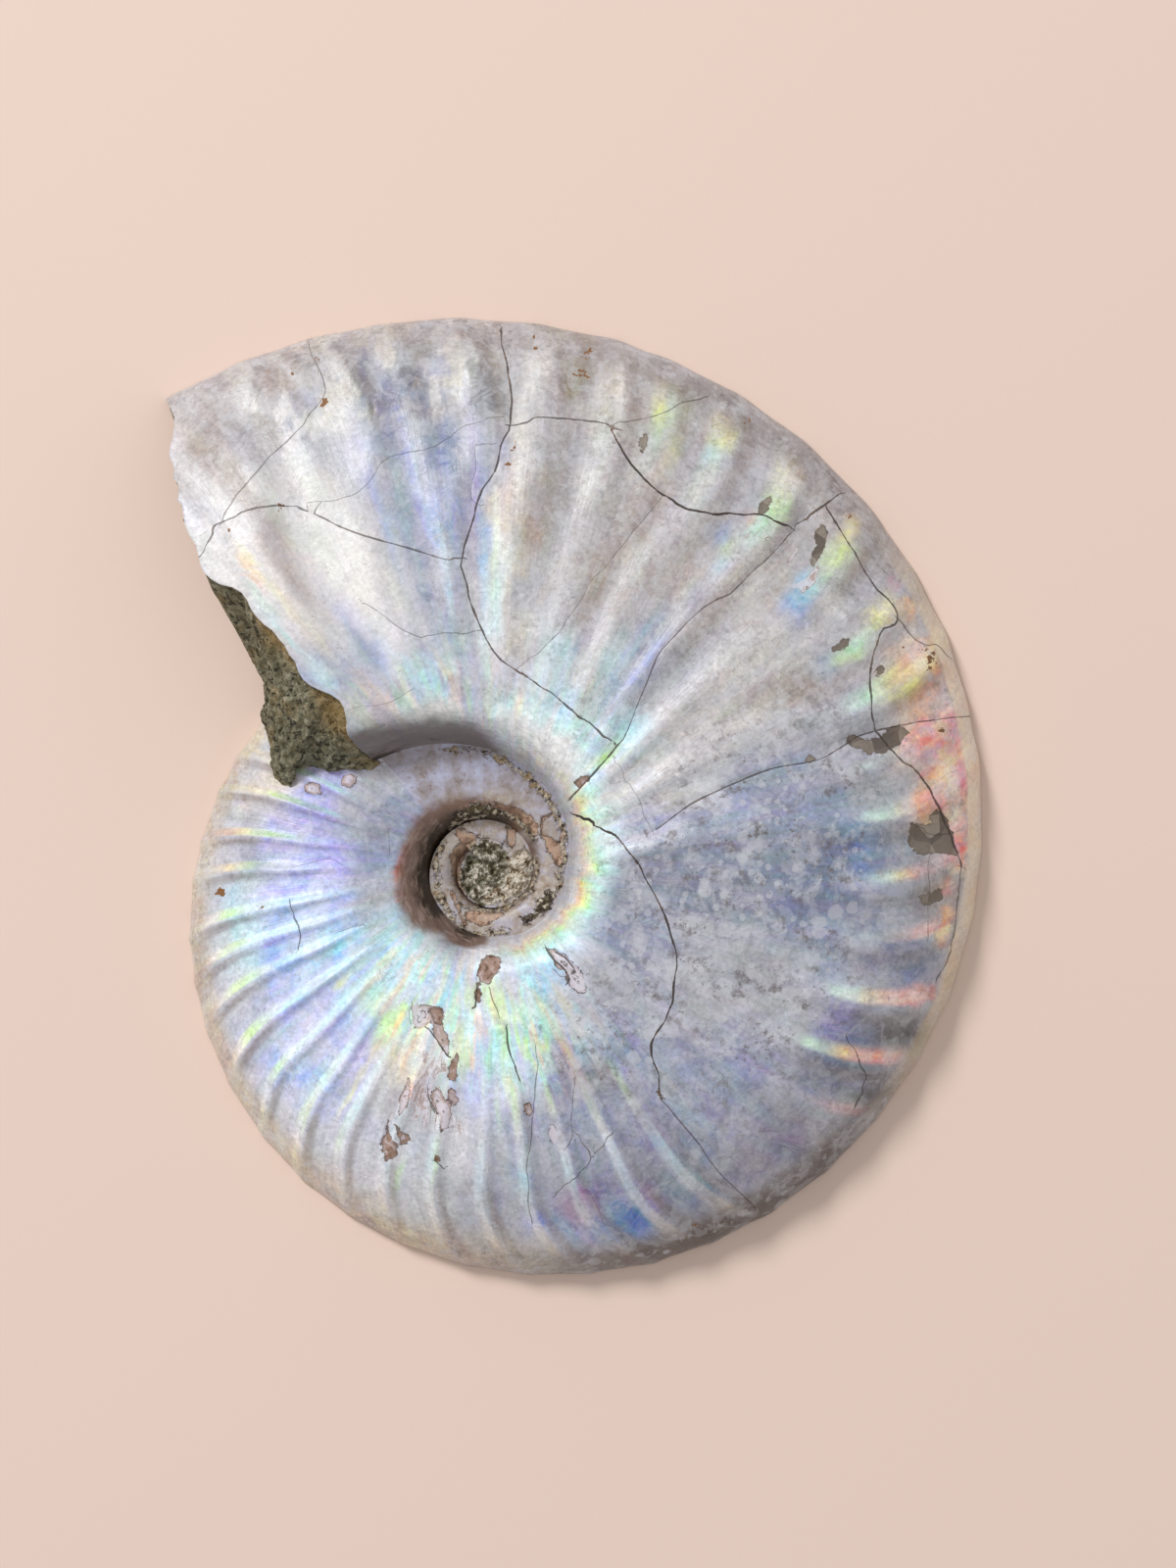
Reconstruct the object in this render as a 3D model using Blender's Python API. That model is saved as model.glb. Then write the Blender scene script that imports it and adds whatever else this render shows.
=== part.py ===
# One half of a planispiral ammonite, sawn along its plane of symmetry.
# The sawn face is flat and lies on z = 0; the flank of the shell domes up from it.
# Every point is placed by its angle along the spiral and by its height in the whorl,
# which runs from 0 at the umbilical seam to 1 at the venter.

from math import cos, exp, pi, radians, sin

import bmesh
import bpy
from mathutils import Vector, noise
from mathutils.geometry import delaunay_2d_cdt

# Spiral of the venter: radius at angle 0, growth per radian, lean to one side, ovalness
VENTER_RADIUS = 0.0391
VENTER_GROWTH = 0.1261
VENTER_LEAN = 0.0772
VENTER_LEAN_TOWARDS = radians(-33.5)
VENTER_OVAL = 0.0104
VENTER_OVAL_TOWARDS = radians(68.7)

# Spiral of the umbilical seam, which opens out faster over the body chamber
SEAM_RADIUS = 0.00667
SEAM_GROWTH = 0.1045
SEAM_OPENING = 0.223
SEAM_LEAN = 0.0918
SEAM_LEAN_TOWARDS = radians(-53.0)

# Cross-section of the whorl
HALF_THICKNESS = 0.32       # of the whorl's height
THICKEST_AT = 0.25
UMBILICAL_WALL = 0.042
FLANK_CURVE = 2.2
VENTER_ROUNDING = 0.62

# Ribs
RIBS_PER_WHORL = 42
COLUMNS_PER_RIB = 4
RIB_HEIGHT = 0.00032
LATE_RIB_SHARE = 0.4
INNER_RIB_SHARE = 0.3
RIB_BEND = radians(4.0)
FOLD_HEIGHT = 0.00028       # broad folds of the body chamber, every second rib

# Where the shell starts to show, where it is broken off, and the break's lag at the venter
APERTURE_ANGLE = radians(134.0)
APERTURE_LAG = radians(10.5)
FILL_WIDTH = radians(22.0)  # rock that covers the start of the last whorl
FILL_FADE = radians(50.0)

# Foot of the broken end on the sawn face: radius and angle
BREAK_FOOT = ((0.0455, 126.6), (0.0412, 129.9), (0.0331, 135.0), (0.0294, 137.8), (0.0248, 142.5))

WHORL = 2 * pi
COLUMNS = RIBS_PER_WHORL * COLUMNS_PER_RIB
OPENING_ANGLE = APERTURE_ANGLE - WHORL
START_ANGLE = OPENING_ANGLE - WHORL
LAST_SHARE = 0.35           # of the whorl's height, where the last whorl's inner rows end

# Rows of points: up the umbilical wall to the next seam, then over to the venter
INNER_ROWS = (0.0, 0.05, 0.12, 0.25, 0.55, 1.0)
OUTER_ROWS = (0.17, 0.34, 0.50, 0.64, 0.76, 0.86, 0.935, 0.98, 1.0)
SEAM_ROW = len(INNER_ROWS) - 1
VENTER_ROW = SEAM_ROW + len(OUTER_ROWS)


def smooth(low, high, value):
    t = min(max((value - low) / (high - low), 0.0), 1.0)
    return t * t * (3 - 2 * t)


def venter_radius(angle):
    return VENTER_RADIUS * exp(
        VENTER_GROWTH * angle
        + VENTER_LEAN * cos(angle - VENTER_LEAN_TOWARDS)
        + VENTER_OVAL * cos(2 * (angle - VENTER_OVAL_TOWARDS))
    )


def seam_radius(angle):
    return SEAM_RADIUS * exp(
        SEAM_GROWTH * angle
        + SEAM_OPENING * max(0.0, angle)
        + SEAM_LEAN * cos(angle - SEAM_LEAN_TOWARDS)
    )


def whorl_height(angle):
    return venter_radius(angle) - seam_radius(angle)


def next_seam(angle):
    # Height in the whorl at which the following whorl covers it
    return (seam_radius(angle + WHORL) - seam_radius(angle)) / whorl_height(angle)


def flank(v):
    # Share of the half thickness, from the thickest line out to the venter and in to the seam
    if v < THICKEST_AT:
        return 1 - 0.04 * (1 - v / THICKEST_AT) ** 2
    outward = min((v - THICKEST_AT) / (1 - THICKEST_AT), 1.0)
    return (1 - outward ** FLANK_CURVE) ** VENTER_ROUNDING


def surface_height(angle, v):
    half = HALF_THICKNESS * whorl_height(angle)
    if angle < START_ANGLE:
        return half * flank(v)
    seam = surface_height(angle - WHORL, next_seam(angle - WHORL))
    rise = 1 - exp(-((v / UMBILICAL_WALL) ** 1.3))
    return seam + (half * flank(v) - seam) * rise if v < THICKEST_AT else half * flank(v)


def rib(angle, v):
    # Ribs are crisp on the first half of the last whorl; towards the aperture they fade
    # and broad folds take over
    late = smooth(radians(-60), radians(40), angle)
    early = smooth(OPENING_ANGLE, OPENING_ANGLE + 0.4, angle)
    strength = (1 - (1 - LATE_RIB_SHARE) * late) * (INNER_RIB_SHARE + (1 - INNER_RIB_SHARE) * early)
    crest = 0.5 + 0.5 * sin(RIBS_PER_WHORL * (angle - APERTURE_ANGLE))
    fold = 0.5 + 0.5 * sin(RIBS_PER_WHORL / 2 * (angle - APERTURE_ANGLE))
    rib_shown = smooth(0.10, 0.40, v) * (1 - 0.4 * smooth(0.90, 1.0, v))
    fold_shown = smooth(0.05, 0.20, v) * (1 - smooth(0.70, 0.95, v))
    return RIB_HEIGHT * strength * rib_shown * crest + FOLD_HEIGHT * late * fold_shown * fold


def row_height(angle, row):
    # The inner rows end at the next seam, and beyond the opening at a constant share
    covered = next_seam(min(angle, OPENING_ANGLE))
    split = covered + (LAST_SHARE - covered) * smooth(OPENING_ANGLE, OPENING_ANGLE + 2, angle)
    if row <= SEAM_ROW:
        return split * INNER_ROWS[row]
    return split + (1 - split) * OUTER_ROWS[row - SEAM_ROW - 1]


def shifted(angle, v):
    # Columns bend forwards with the ribs, lag at the aperture and clear the rock fill
    ending = smooth(APERTURE_ANGLE - 1, APERTURE_ANGLE, angle)
    bend = (RIB_BEND - (RIB_BEND + APERTURE_LAG) * ending) * v ** 3
    since_opening = angle - OPENING_ANGLE
    if since_opening < 0 or since_opening > FILL_FADE:
        return angle + bend
    split = row_height(angle, SEAM_ROW)
    outward = max(0.0, (v - split) / (1 - split))
    clear = FILL_WIDTH * sin(0.9 * pi * outward) * (1 - since_opening / FILL_FADE)
    return angle + bend + clear


def shell_point(angle, v):
    turned = shifted(angle, v)
    raised = rib(turned - RIB_BEND * v ** 3, v)
    radius = seam_radius(turned) + v * whorl_height(turned) + 0.7 * raised * v ** 8
    height = 0.0 if v >= 1 else surface_height(turned, v) + raised * (1 - v ** 8)
    return Vector((radius * cos(turned), radius * sin(turned), height))


def shell_columns(bm):
    # Columns from the inner whorl to the aperture; each whorl's first row is the
    # seam row of the whorl before it
    columns = []
    for i in range(2 * COLUMNS + 1):
        angle = START_ANGLE + i * WHORL / COLUMNS
        last = VENTER_ROW if i >= COLUMNS else SEAM_ROW
        column = [columns[i - COLUMNS][SEAM_ROW]] if i >= COLUMNS else []
        for row in range(len(column), last + 1):
            column.append(bm.verts.new(shell_point(angle, row_height(angle, row))))
        columns.append(column)
    return columns


def shell_faces(bm, columns):
    for i in range(2 * COLUMNS):
        near, far = columns[i], columns[i + 1]
        for row in range(min(len(near), len(far)) - 1):
            bm.faces.new((near[row], far[row], far[row + 1], near[row + 1]))


def loop_height(loop, x, y):
    # Height of a skin stretched over the loop: near points count for most
    total = weighted = 0.0
    for vert in loop:
        weight = ((vert.co.x - x) ** 2 + (vert.co.y - y) ** 2 + 1e-9) ** -1.5
        total += weight
        weighted += weight * vert.co.z
    return weighted / total


def inside(loop, x, y, margin):
    crossings = 0
    for a, b in zip(loop, loop[1:] + loop[:1]):
        if (a.co.x - x) ** 2 + (a.co.y - y) ** 2 < margin ** 2:
            return False
        if (a.co.y > y) != (b.co.y > y):
            across = a.co.x + (y - a.co.y) / (b.co.y - a.co.y) * (b.co.x - a.co.x)
            crossings += across > x
    return crossings % 2 == 1


def grid_points(loop, spacing):
    xs = [vert.co.x for vert in loop]
    ys = [vert.co.y for vert in loop]
    points = []
    for j in range(int((max(ys) - min(ys)) / spacing) + 1):
        for i in range(int((max(xs) - min(xs)) / spacing) + 1):
            x = min(xs) + (i + 0.5 * (j % 2)) * spacing
            y = min(ys) + (j + 0.5) * spacing * 0.87
            if inside(loop, x, y, 0.6 * spacing):
                points.append((x, y))
    return points


def fill_loop(bm, loop, spacing, roughness):
    # Closes a loop of points with a skin of even triangles
    inner = grid_points(loop, spacing)
    flat = [Vector((vert.co.x, vert.co.y)) for vert in loop] + [Vector(p) for p in inner]
    edges = [(i, (i + 1) % len(loop)) for i in range(len(loop))]
    corners, _, faces, _, _, _ = delaunay_2d_cdt(flat, edges, [], 1, 1e-9)
    verts = list(loop)
    for x, y in inner:
        bump = roughness * noise.noise(Vector((x, y, 0.0)) * 700)
        verts.append(bm.verts.new((x, y, loop_height(loop, x, y) + bump)))
    for face in faces:
        bm.faces.new([verts[corner] for corner in face])


def broken_end(bm, columns):
    # Rock between the broken edge of the shell, the flank before it and the sawn face
    opening, aperture = columns[COLUMNS], columns[-1]
    foot = []
    for radius, degrees in BREAK_FOOT:
        turned = radians(degrees)
        foot.append(bm.verts.new((radius * cos(turned), radius * sin(turned), 0.0)))
    fill_loop(bm, aperture + foot + opening[:SEAM_ROW:-1], 0.0012, 0.0004)
    return foot


def core(bm, columns):
    # Crushed first whorls in the middle of the umbilicus
    inner = [column[0] for column in columns[:COLUMNS]]
    step = columns[0][1:SEAM_ROW + 1]
    fill_loop(bm, inner + step[::-1], 0.0008, 0.0004)


def sawn_face(bm, columns, foot):
    rim = [column[VENTER_ROW] for column in columns[COLUMNS:]]
    fill_loop(bm, rim + foot, 0.005, 0.0)


def centre_on_origin(bm):
    # The origin is the middle of the sawn face's bounding box
    xs = [vert.co.x for vert in bm.verts]
    ys = [vert.co.y for vert in bm.verts]
    middle = Vector(((min(xs) + max(xs)) / 2, (min(ys) + max(ys)) / 2, 0.0))
    bmesh.ops.translate(bm, verts=bm.verts, vec=-middle)


def pearly_shell():
    material = bpy.data.materials.new("pearly_shell")
    material.use_nodes = True
    shader = material.node_tree.nodes["Principled BSDF"]
    shader.inputs["Base Color"].default_value = (0.42, 0.43, 0.47, 1.0)
    shader.inputs["Roughness"].default_value = 0.32
    shader.inputs["Metallic"].default_value = 0.0
    return material


def make_ammonite():
    bm = bmesh.new()
    columns = shell_columns(bm)
    shell_faces(bm, columns)
    core(bm, columns)
    foot = broken_end(bm, columns)
    sawn_face(bm, columns, foot)
    bmesh.ops.recalc_face_normals(bm, faces=bm.faces)
    centre_on_origin(bm)
    mesh = bpy.data.meshes.new("ammonite")
    bm.to_mesh(mesh)
    bm.free()
    mesh.shade_smooth()
    mesh.set_sharp_from_angle(angle=radians(50))
    mesh.materials.append(pearly_shell())
    bpy.context.collection.objects.link(bpy.data.objects.new("ammonite", mesh))


for old in list(bpy.data.objects):
    bpy.data.objects.remove(old)
make_ammonite()
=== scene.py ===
import math

import bpy
import numpy as np
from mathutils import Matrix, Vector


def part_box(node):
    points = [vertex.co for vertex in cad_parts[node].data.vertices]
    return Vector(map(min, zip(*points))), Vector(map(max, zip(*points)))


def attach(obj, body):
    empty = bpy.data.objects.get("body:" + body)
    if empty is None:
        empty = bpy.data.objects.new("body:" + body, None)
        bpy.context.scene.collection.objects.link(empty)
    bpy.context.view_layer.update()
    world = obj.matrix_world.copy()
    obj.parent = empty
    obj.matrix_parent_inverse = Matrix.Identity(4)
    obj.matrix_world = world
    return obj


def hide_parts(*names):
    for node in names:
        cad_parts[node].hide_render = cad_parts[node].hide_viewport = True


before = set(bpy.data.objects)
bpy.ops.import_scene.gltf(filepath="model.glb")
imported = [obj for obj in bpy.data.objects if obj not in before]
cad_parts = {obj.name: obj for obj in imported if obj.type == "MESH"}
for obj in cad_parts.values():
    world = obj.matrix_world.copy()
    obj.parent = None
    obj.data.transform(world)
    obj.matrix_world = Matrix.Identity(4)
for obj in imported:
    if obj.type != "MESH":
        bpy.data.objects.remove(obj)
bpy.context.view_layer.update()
boxLow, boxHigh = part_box("ammonite")
print("frame loaded")

# Lengths are in metres. Angles run along the coil, anticlockwise from above, and are in degrees
# in every list. A place on the shell is its angle and its share of the whorl's height: 0 at the
# umbilical seam, 1 at the venter.
mm = 0.001
turn = 2 * math.pi

coil = {
    "venterRadius": 39.1 * mm,
    "venterGrowth": 0.1261,
    "venterLean": 0.0772,
    "venterLeanTowards": -33.5,
    "venterOval": 0.0104,
    "venterOvalTowards": 68.7,
    "seamRadius": 6.67 * mm,
    "seamGrowth": 0.1045,
    "seamOpening": 0.223,
    "seamLean": 0.0918,
    "seamLeanTowards": -53.0,
    "halfThickness": 0.32,
    "thickestAt": 0.25,
    "wallShare": 0.040,
    "wideWallShare": 0.038,       # added on the side where the wall leans back
    "wideWallTowards": 172.0,
    "wallFoot": -0.014,
    "flankCurve": 2.2,
    "venterRounding": 0.62,
    "mouthAngle": 134.0,
    "rimFrom": -217,              # the outline that is seen
    "rimTo": 124,
}


def smooth(low, high, value):
    t = np.clip((value - low) / (high - low), 0.0, 1.0)
    return t * t * (3 - 2 * t)


def window(value, start, full, fall, end):  # 1 from full to fall, 0 outside start and end
    return smooth(start, full, value) * (1 - smooth(fall, end, value))


def area(degrees, share, middle, height, wide, tall, power=4):  # 1 at its middle, soft edges
    x, y = np.abs((degrees - middle) / wide), np.abs((share - height) / tall)
    return np.exp(-x ** power - y ** power)


def follow(rows, value):  # the second number of the rows, read at a value of the first
    return np.interp(value, *np.transpose(rows))


def towards(angle, degrees, times=1):  # 1 on the side at that angle
    return np.cos(times * (angle - math.radians(degrees)))


def venterRadius(angle):
    lean = coil["venterLean"] * towards(angle, coil["venterLeanTowards"])
    oval = coil["venterOval"] * towards(angle, coil["venterOvalTowards"], 2)
    return coil["venterRadius"] * np.exp(coil["venterGrowth"] * angle + lean + oval)


def seamRadius(angle):
    return coil["seamRadius"] * np.exp(
        coil["seamGrowth"] * angle + coil["seamOpening"] * np.maximum(angle, 0.0)
        + coil["seamLean"] * towards(angle, coil["seamLeanTowards"]))


def whorlHeight(angle):
    return venterRadius(angle) - seamRadius(angle)


def nextSeam(angle):  # share at which the next whorl covers this one
    return (seamRadius(angle + turn) - seamRadius(angle)) / whorlHeight(angle)


def flank(share):
    outward = np.clip((share - coil["thickestAt"]) / (1 - coil["thickestAt"]), 0.0, 1.0)
    inward = np.clip(1 - share / coil["thickestAt"], 0.0, 1.5)
    return (1 - outward ** coil["flankCurve"]) ** coil["venterRounding"] - 0.04 * inward ** 2


def wallShare(angle):  # share over which the umbilical wall rises
    leaning = 0.5 + 0.5 * towards(angle, coil["wideWallTowards"])
    return coil["wallShare"] + coil["wideWallShare"] * leaning ** 3


def domeHeight(angle, share, whorls=3):  # height over the sawn face, without ribs
    half = coil["halfThickness"] * whorlHeight(angle) * flank(share)
    if whorls == 0:
        return half
    seam = domeHeight(angle - turn, nextSeam(angle - turn), whorls - 1)
    rise = 1 - np.exp(-(np.maximum(share - coil["wallFoot"], 0.0) / wallShare(angle)) ** 1.5)
    return seam + (half - seam) * rise


def latticeNoise(x, y, seed):  # smooth noise from -1 to 1, one bump per unit
    size = 256
    table = np.random.default_rng(seed).uniform(-1, 1, (size, size))
    ix, iy = np.floor(x).astype(int), np.floor(y).astype(int)
    fx, fy = smooth(0, 1, x - ix), smooth(0, 1, y - iy)

    def row(j):
        return table[ix % size, j % size] * (1 - fx) + table[(ix + 1) % size, j % size] * fx

    return row(iy) * (1 - fy) + row(iy + 1) * fy


def layeredNoise(x, y, seed, layers=3):
    return sum(latticeNoise(x * 2 ** k, y * 2 ** k, seed + k) / 2 ** k for k in range(layers))


ribs = {
    "height": 0.43 * mm,
    "lateShare": 0.8,       # of that height, where the ribs turn into folds
    "width": 1.55,          # degrees, where the ribs are crisp
    "lateWidth": 2.2,
    "foldHeight": 0.40 * mm,
    "foldWidth": 3.2,
}

# Crests at three quarters of the whorl's height
ribCrests = [
    -215, -206.5, -198, -187.8, -179.4, -169.2, -161.5, -154.2, -144.8, -135.3, -126.5, -117.4,
    -108.4, -99.2, -90.2, -81.8, -73.4, -65, -56.5, -47.5, -38.6, -30, -21, -11.6, -3.2, 6.4, 13.8,
    22.2, 29.9, 39.4, 49.7, 58.6, 67, 73, 81.4, 90.4, 98, 105.2, 113, 121, 129.5, 137,
]

# Ribs that carry on down the flank as broad folds: crest, and its angle low on the flank
foldCrests = [
    (6.4, 9), (22.2, 28), (39.4, 40), (49.7, 51), (58.6, 63), (73, 74), (81.4, 87), (90.4, 98),
    (105.2, 111), (121, 127), (137, 141),
]

# Degrees that a rib leans forwards at the venter: angle, lean
ribAdvance = [
    (-215, 2), (-165, 2.2), (-145, 5), (-118, 6), (-60, 6), (20, 5.4), (60, 3.2), (130, 2.5),
]


def ribLean(angle, share):  # degrees from the crest's listed angle to its place at this share
    degrees = np.degrees(angle)
    advance = follow(ribAdvance, degrees) * np.clip((share - 0.72) / 0.28, 0, 1.2) ** 2
    return advance - (4 + 5 * smooth(-60, 70, degrees)) * np.exp(-np.maximum(share, 0) / 0.13)


def ribRelief(angle, share):
    degrees = np.degrees(angle)
    leant = degrees - ribLean(angle, share)
    late = smooth(-75, -5, degrees)
    width = ribs["width"] + (ribs["lateWidth"] - ribs["width"]) * late

    def crest(middle, width, number, speed, amount, step, seed):  # its height varies on its way
        lively = 1 + amount * latticeNoise(share * speed, share * 0 + number * step, seed)
        return lively * np.exp(-((leant - middle) / width) ** 2)

    crisp = np.zeros(np.broadcast(angle, share).shape)
    for number, middle in enumerate(ribCrests):
        wander = 0.5 * latticeNoise(share * 5, share * 0 + number * 3.3, 5)
        crisp = crisp + crest(middle + wander, width, number, 4, 0.3, 5.7, 9)
    shown = smooth(0.22 + 0.26 * late, 0.60 + 0.16 * late, share)
    shown = shown * (1 + 0.15 * smooth(0.80, 0.90, share) - 0.35 * smooth(0.93, 1.0, share))
    fading = (1 - (1 - ribs["lateShare"]) * late) * (0.3 + 0.7 * smooth(-226, -212, degrees))
    soft = 1 - 0.30 * np.exp(-((degrees + 104) / 18) ** 2)
    folds = np.zeros(crisp.shape)
    low = 1 - smooth(0.42, 0.80, share)
    for number, (high, lowCrest) in enumerate(foldCrests):
        middle = high + (lowCrest - high) * low
        folds = folds + crest(middle, ribs["foldWidth"], number, 3, 0.35, 4.1, 13)
    foldShown = smooth(0.05, 0.22, share) * (1 - 0.75 * smooth(0.62, 0.85, share))
    return crisp * shown * ribs["height"] * fading * soft + ribs["foldHeight"] * foldShown * folds


def shellPoint(angle, share, lift=0.0):
    relief = ribRelief(angle, share) + lift
    outward = np.clip(share, 0, 1) ** 8
    radius = seamRadius(angle) + share * whorlHeight(angle) + 0.45 * relief * outward
    height = domeHeight(angle, share) + relief * (1 - outward)
    return np.stack([radius * np.cos(angle), radius * np.sin(angle), np.maximum(height, 0.0)], -1)


def placeOnShell(places):  # x and y of listed places
    angle, share = np.transpose(places)
    return shellPoint(np.radians(angle), share)[:, :2]


# The pole is set so that the outline fills the solid's box
rimAngles = np.radians(np.linspace(coil["rimFrom"], coil["rimTo"], 1365))
rimRadii = venterRadius(rimAngles)
pole = (
    boxHigh.x - np.max(rimRadii * np.cos(rimAngles)),
    boxLow.y + np.max(-rimRadii * np.sin(rimAngles)),
    0.0,
)


def meshPiece(name, points, faces, material, marks={}):
    mesh = bpy.data.meshes.new(name)
    mesh.from_pydata(points.reshape(-1, 3).tolist(), [], faces)
    for kind, values in marks.items():
        coloured = values.ndim > 2
        if coloured:  # opaque
            values = np.pad(values, ((0, 0), (0, 0), (0, 1)), constant_values=1)
        layer = mesh.attributes.new(kind, "FLOAT_COLOR" if coloured else "FLOAT", "POINT")
        layer.data.foreach_set("color" if coloured else "value", np.float32(values).ravel())
    mesh.shade_smooth()
    mesh.materials.append(material)
    piece = bpy.data.objects.new(name, mesh)
    bpy.context.collection.objects.link(piece)
    piece.location = pole
    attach(piece, "root")
    return piece


def gridFaces(columns, rows):
    corner = (np.arange(columns - 1)[:, None] * rows + np.arange(rows - 1)[None, :]).ravel()
    return np.stack([corner, corner + rows, corner + rows + 1, corner + 1], -1).tolist()


bench = {"tree": None, "look": None}  # the node tree that is being wired, and its colours


class wire:  # an output of a shader node; reckoning with wires adds math nodes
    def __init__(self, socket):
        self.socket = socket

    def __add__(self, other):
        return calc("ADD", self, other)

    def __sub__(self, other):
        return calc("SUBTRACT", self, other)

    def __rsub__(self, other):
        return calc("SUBTRACT", other, self)

    def __mul__(self, other):
        return calc("MULTIPLY", self, other)

    def __truediv__(self, other):
        return calc("DIVIDE", self, other)

    def __abs__(self):
        return calc("ABSOLUTE", self)

    __radd__, __rmul__ = __add__, __mul__


def colour(red, green, blue):  # from display values, 0 to 255
    def linear(c):
        c = c / 255
        return c / 12.92 if c <= 0.04045 else ((c + 0.055) / 1.055) ** 2.4
    return (linear(red), linear(green), linear(blue), 1.0)


def shadeOf(value):  # a name stands for a colour of the piece's look
    return colour(*bench["look"][value]) if isinstance(value, str) else value


def plug(socket, value):
    if isinstance(value, wire):
        bench["tree"].links.new(value.socket, socket)
    else:
        socket.default_value = shadeOf(value)


def shaderNode(kind, inputs, *outputs, **settings):
    node = bench["tree"].nodes.new("ShaderNode" + kind)
    for name, setting in settings.items():
        setattr(node, name, setting)
    for socket, value in inputs.items():
        plug(node.inputs[socket], value)
    wires = [wire(node.outputs[output]) for output in outputs]
    return wires if len(wires) > 1 else wires[0]


def calc(operation, a, b=0.0, clamp=False):
    return shaderNode("Math", {0: a, 1: b}, 0, operation=operation, use_clamp=clamp)


def fade(value, low, high, first=0.0, last=1.0):
    inputs = dict(enumerate((value, low, high, first, last)))
    return shaderNode("MapRange", inputs, 0, interpolation_type="SMOOTHSTEP")


def fadeOut(value, low, high, first=1.0):
    return fade(value, low, high, first, 0.0)


def blend(amount, first, second, mode="MIX"):
    inputs = {0: amount, 6: first, 7: second}
    return shaderNode("Mix", inputs, 2, data_type="RGBA", blend_type=mode)


def colourRamp(value, *stops):
    ramp = shaderNode("ValToRGB", {0: value}, 0)
    stopList = ramp.socket.node.color_ramp.elements
    while len(stopList) < len(stops):
        stopList.new(0.5)
    for element, (position, shade) in zip(stopList, stops):
        element.position = position
        element.color = shadeOf(shade)
    return ramp


def mark(name, output="Fac"):  # a value that the mesh carries
    return shaderNode("Attribute", {}, output, attribute_name=name)


def place():
    return shaderNode("TexCoord", {}, "Object")


def joined(x, y, z=0.0):
    return shaderNode("CombineXYZ", {0: x, 1: y, 2: z}, 0)


def noise(scale, detail=3.0, roughness=0.5, distortion=0.0, where=None):
    return shaderNode("TexNoise", {
        "Vector": where or place(), "Scale": scale, "Detail": detail, "Roughness": roughness,
        "Distortion": distortion}, "Fac")


def centred(value, amount):
    return (value - 0.5) * amount


def cells(scale):  # distance from the nearest random point, and that point's number
    away, tone = shaderNode("TexVoronoi", {"Vector": place(), "Scale": scale}, "Distance", "Color")
    return away, shaderNode("SeparateColor", {0: tone}, 0)


def newMaterial(name, look, roughness, specular=0.5):
    material = bpy.data.materials.new(name)
    material.use_nodes = True
    bench.update(tree=material.node_tree, look=look)
    shader = material.node_tree.nodes["Principled BSDF"]
    shader.inputs["Roughness"].default_value = roughness
    shader.inputs["Specular IOR Level"].default_value = specular
    return material, shader


def coat(shader, base, *reliefs):  # colour, then reliefs: height, depth and strength
    plug(shader.inputs["Base Color"], base)
    below = {}
    for height, depth, strength in reliefs:
        inputs = {"Height": height, "Distance": depth, "Strength": strength}
        below = {"Normal": shaderNode("Bump", inputs | below, 0)}
    for socket, relief in below.items():
        plug(shader.inputs[socket], relief)


# Each crack: half width in mm, depth of tone, then its places (angle, share)
cracks = [
    (.035, .7, [(-51.9, .96), (-52.5, .8), (-52.6, .56)]),
    (.065, 1, [(-52.6, .56), (-47, .435), (-37.8, .395), (-24.6, .32), (-5.5, .19), (10, .124),
        (17.8, .078), (24.4, .048), (31.5, .013)]),
    (.06, .9, [(0, .95), (6.5, .9), (13.6, .83), (17.8, .775), (22, .767), (27.4, .8), (31, .86),
        (31.5, .91), (38, .9), (46.5, .92)]),
    (.06, 1, [(48.3, .83), (53, .79), (57.8, .72), (63.2, .7), (69.8, .73), (74.6, .8)]),
    (.055, .9, [(88.6, .98), (87, .79), (88.3, .66), (90.7, .58), (94.3, .435), (93.7, .355),
        (91.3, .27), (87, .21), (79.3, .184), (69.8, .169), (59, .164), (48.3, .172),
        (43.5, .179)]),
    (.03, .6, [(108.6, .98), (109, .85), (116.4, .77), (123.5, .71), (127.7, .67)]),
    (.03, .6, [(65, .96), (69.8, .86), (74.6, .8)]),
    (.02, .4, [(113.4, .13), (121, .11), (130.7, .13)]),
    (.02, .4, [(12.4, .19), (24.4, .17), (35, .16), (42, .16)]),
    (.045, .8, [(-169.6, .58), (-165.4, .56), (-160, .55), (-156.5, .57)]),
    (.02, .5, [(-180.4, .57), (-183.3, .435), (-181.6, .395)]),
    (.03, .5, [(-156.5, .385), (-155.3, .29)]),
    (.03, .6, [(-83, .84), (-82.4, .69), (-80.9, .61), (-78.6, .48), (-76, .386), (-74.2, .305)]),
    (.045, .9, [(-82.8, .248), (-83, .307), (-82.3, .348), (-81, .41)]),
    (.02, .4, [(-201, .24), (-190.5, .2)]),
    (.045, .9, [(-110.1, .326), (-107.4, .339), (-104.9, .353), (-103.1, .37), (-101.2, .383)]),
    (.05, .9, [(-94.6, .132), (-94.5, .165), (-94.5, .208)]),
    (.06, .9, [(-53.1, .053), (-53.7, .084), (-52.6, .115), (-52, .141), (-53.9, .168)]),
    (.05, .8, [(-105.3, .491), (-104, .529), (-102.8, .554), (-101.5, .566)]),
    (.04, .8, [(-99.5, .709), (-98.1, .722)]),
    (.04, .7, [(0, .95), (-6, .955), (-10.2, .967), (-13.8, .956)]),
    (.05, .7, [(-25.4, .805), (-27.4, .863), (-29.5, .916), (-33, .931)]),
    (.02, .5, [(-118.6, .29), (-118.2, .32), (-116.2, .35)]),
]

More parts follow.
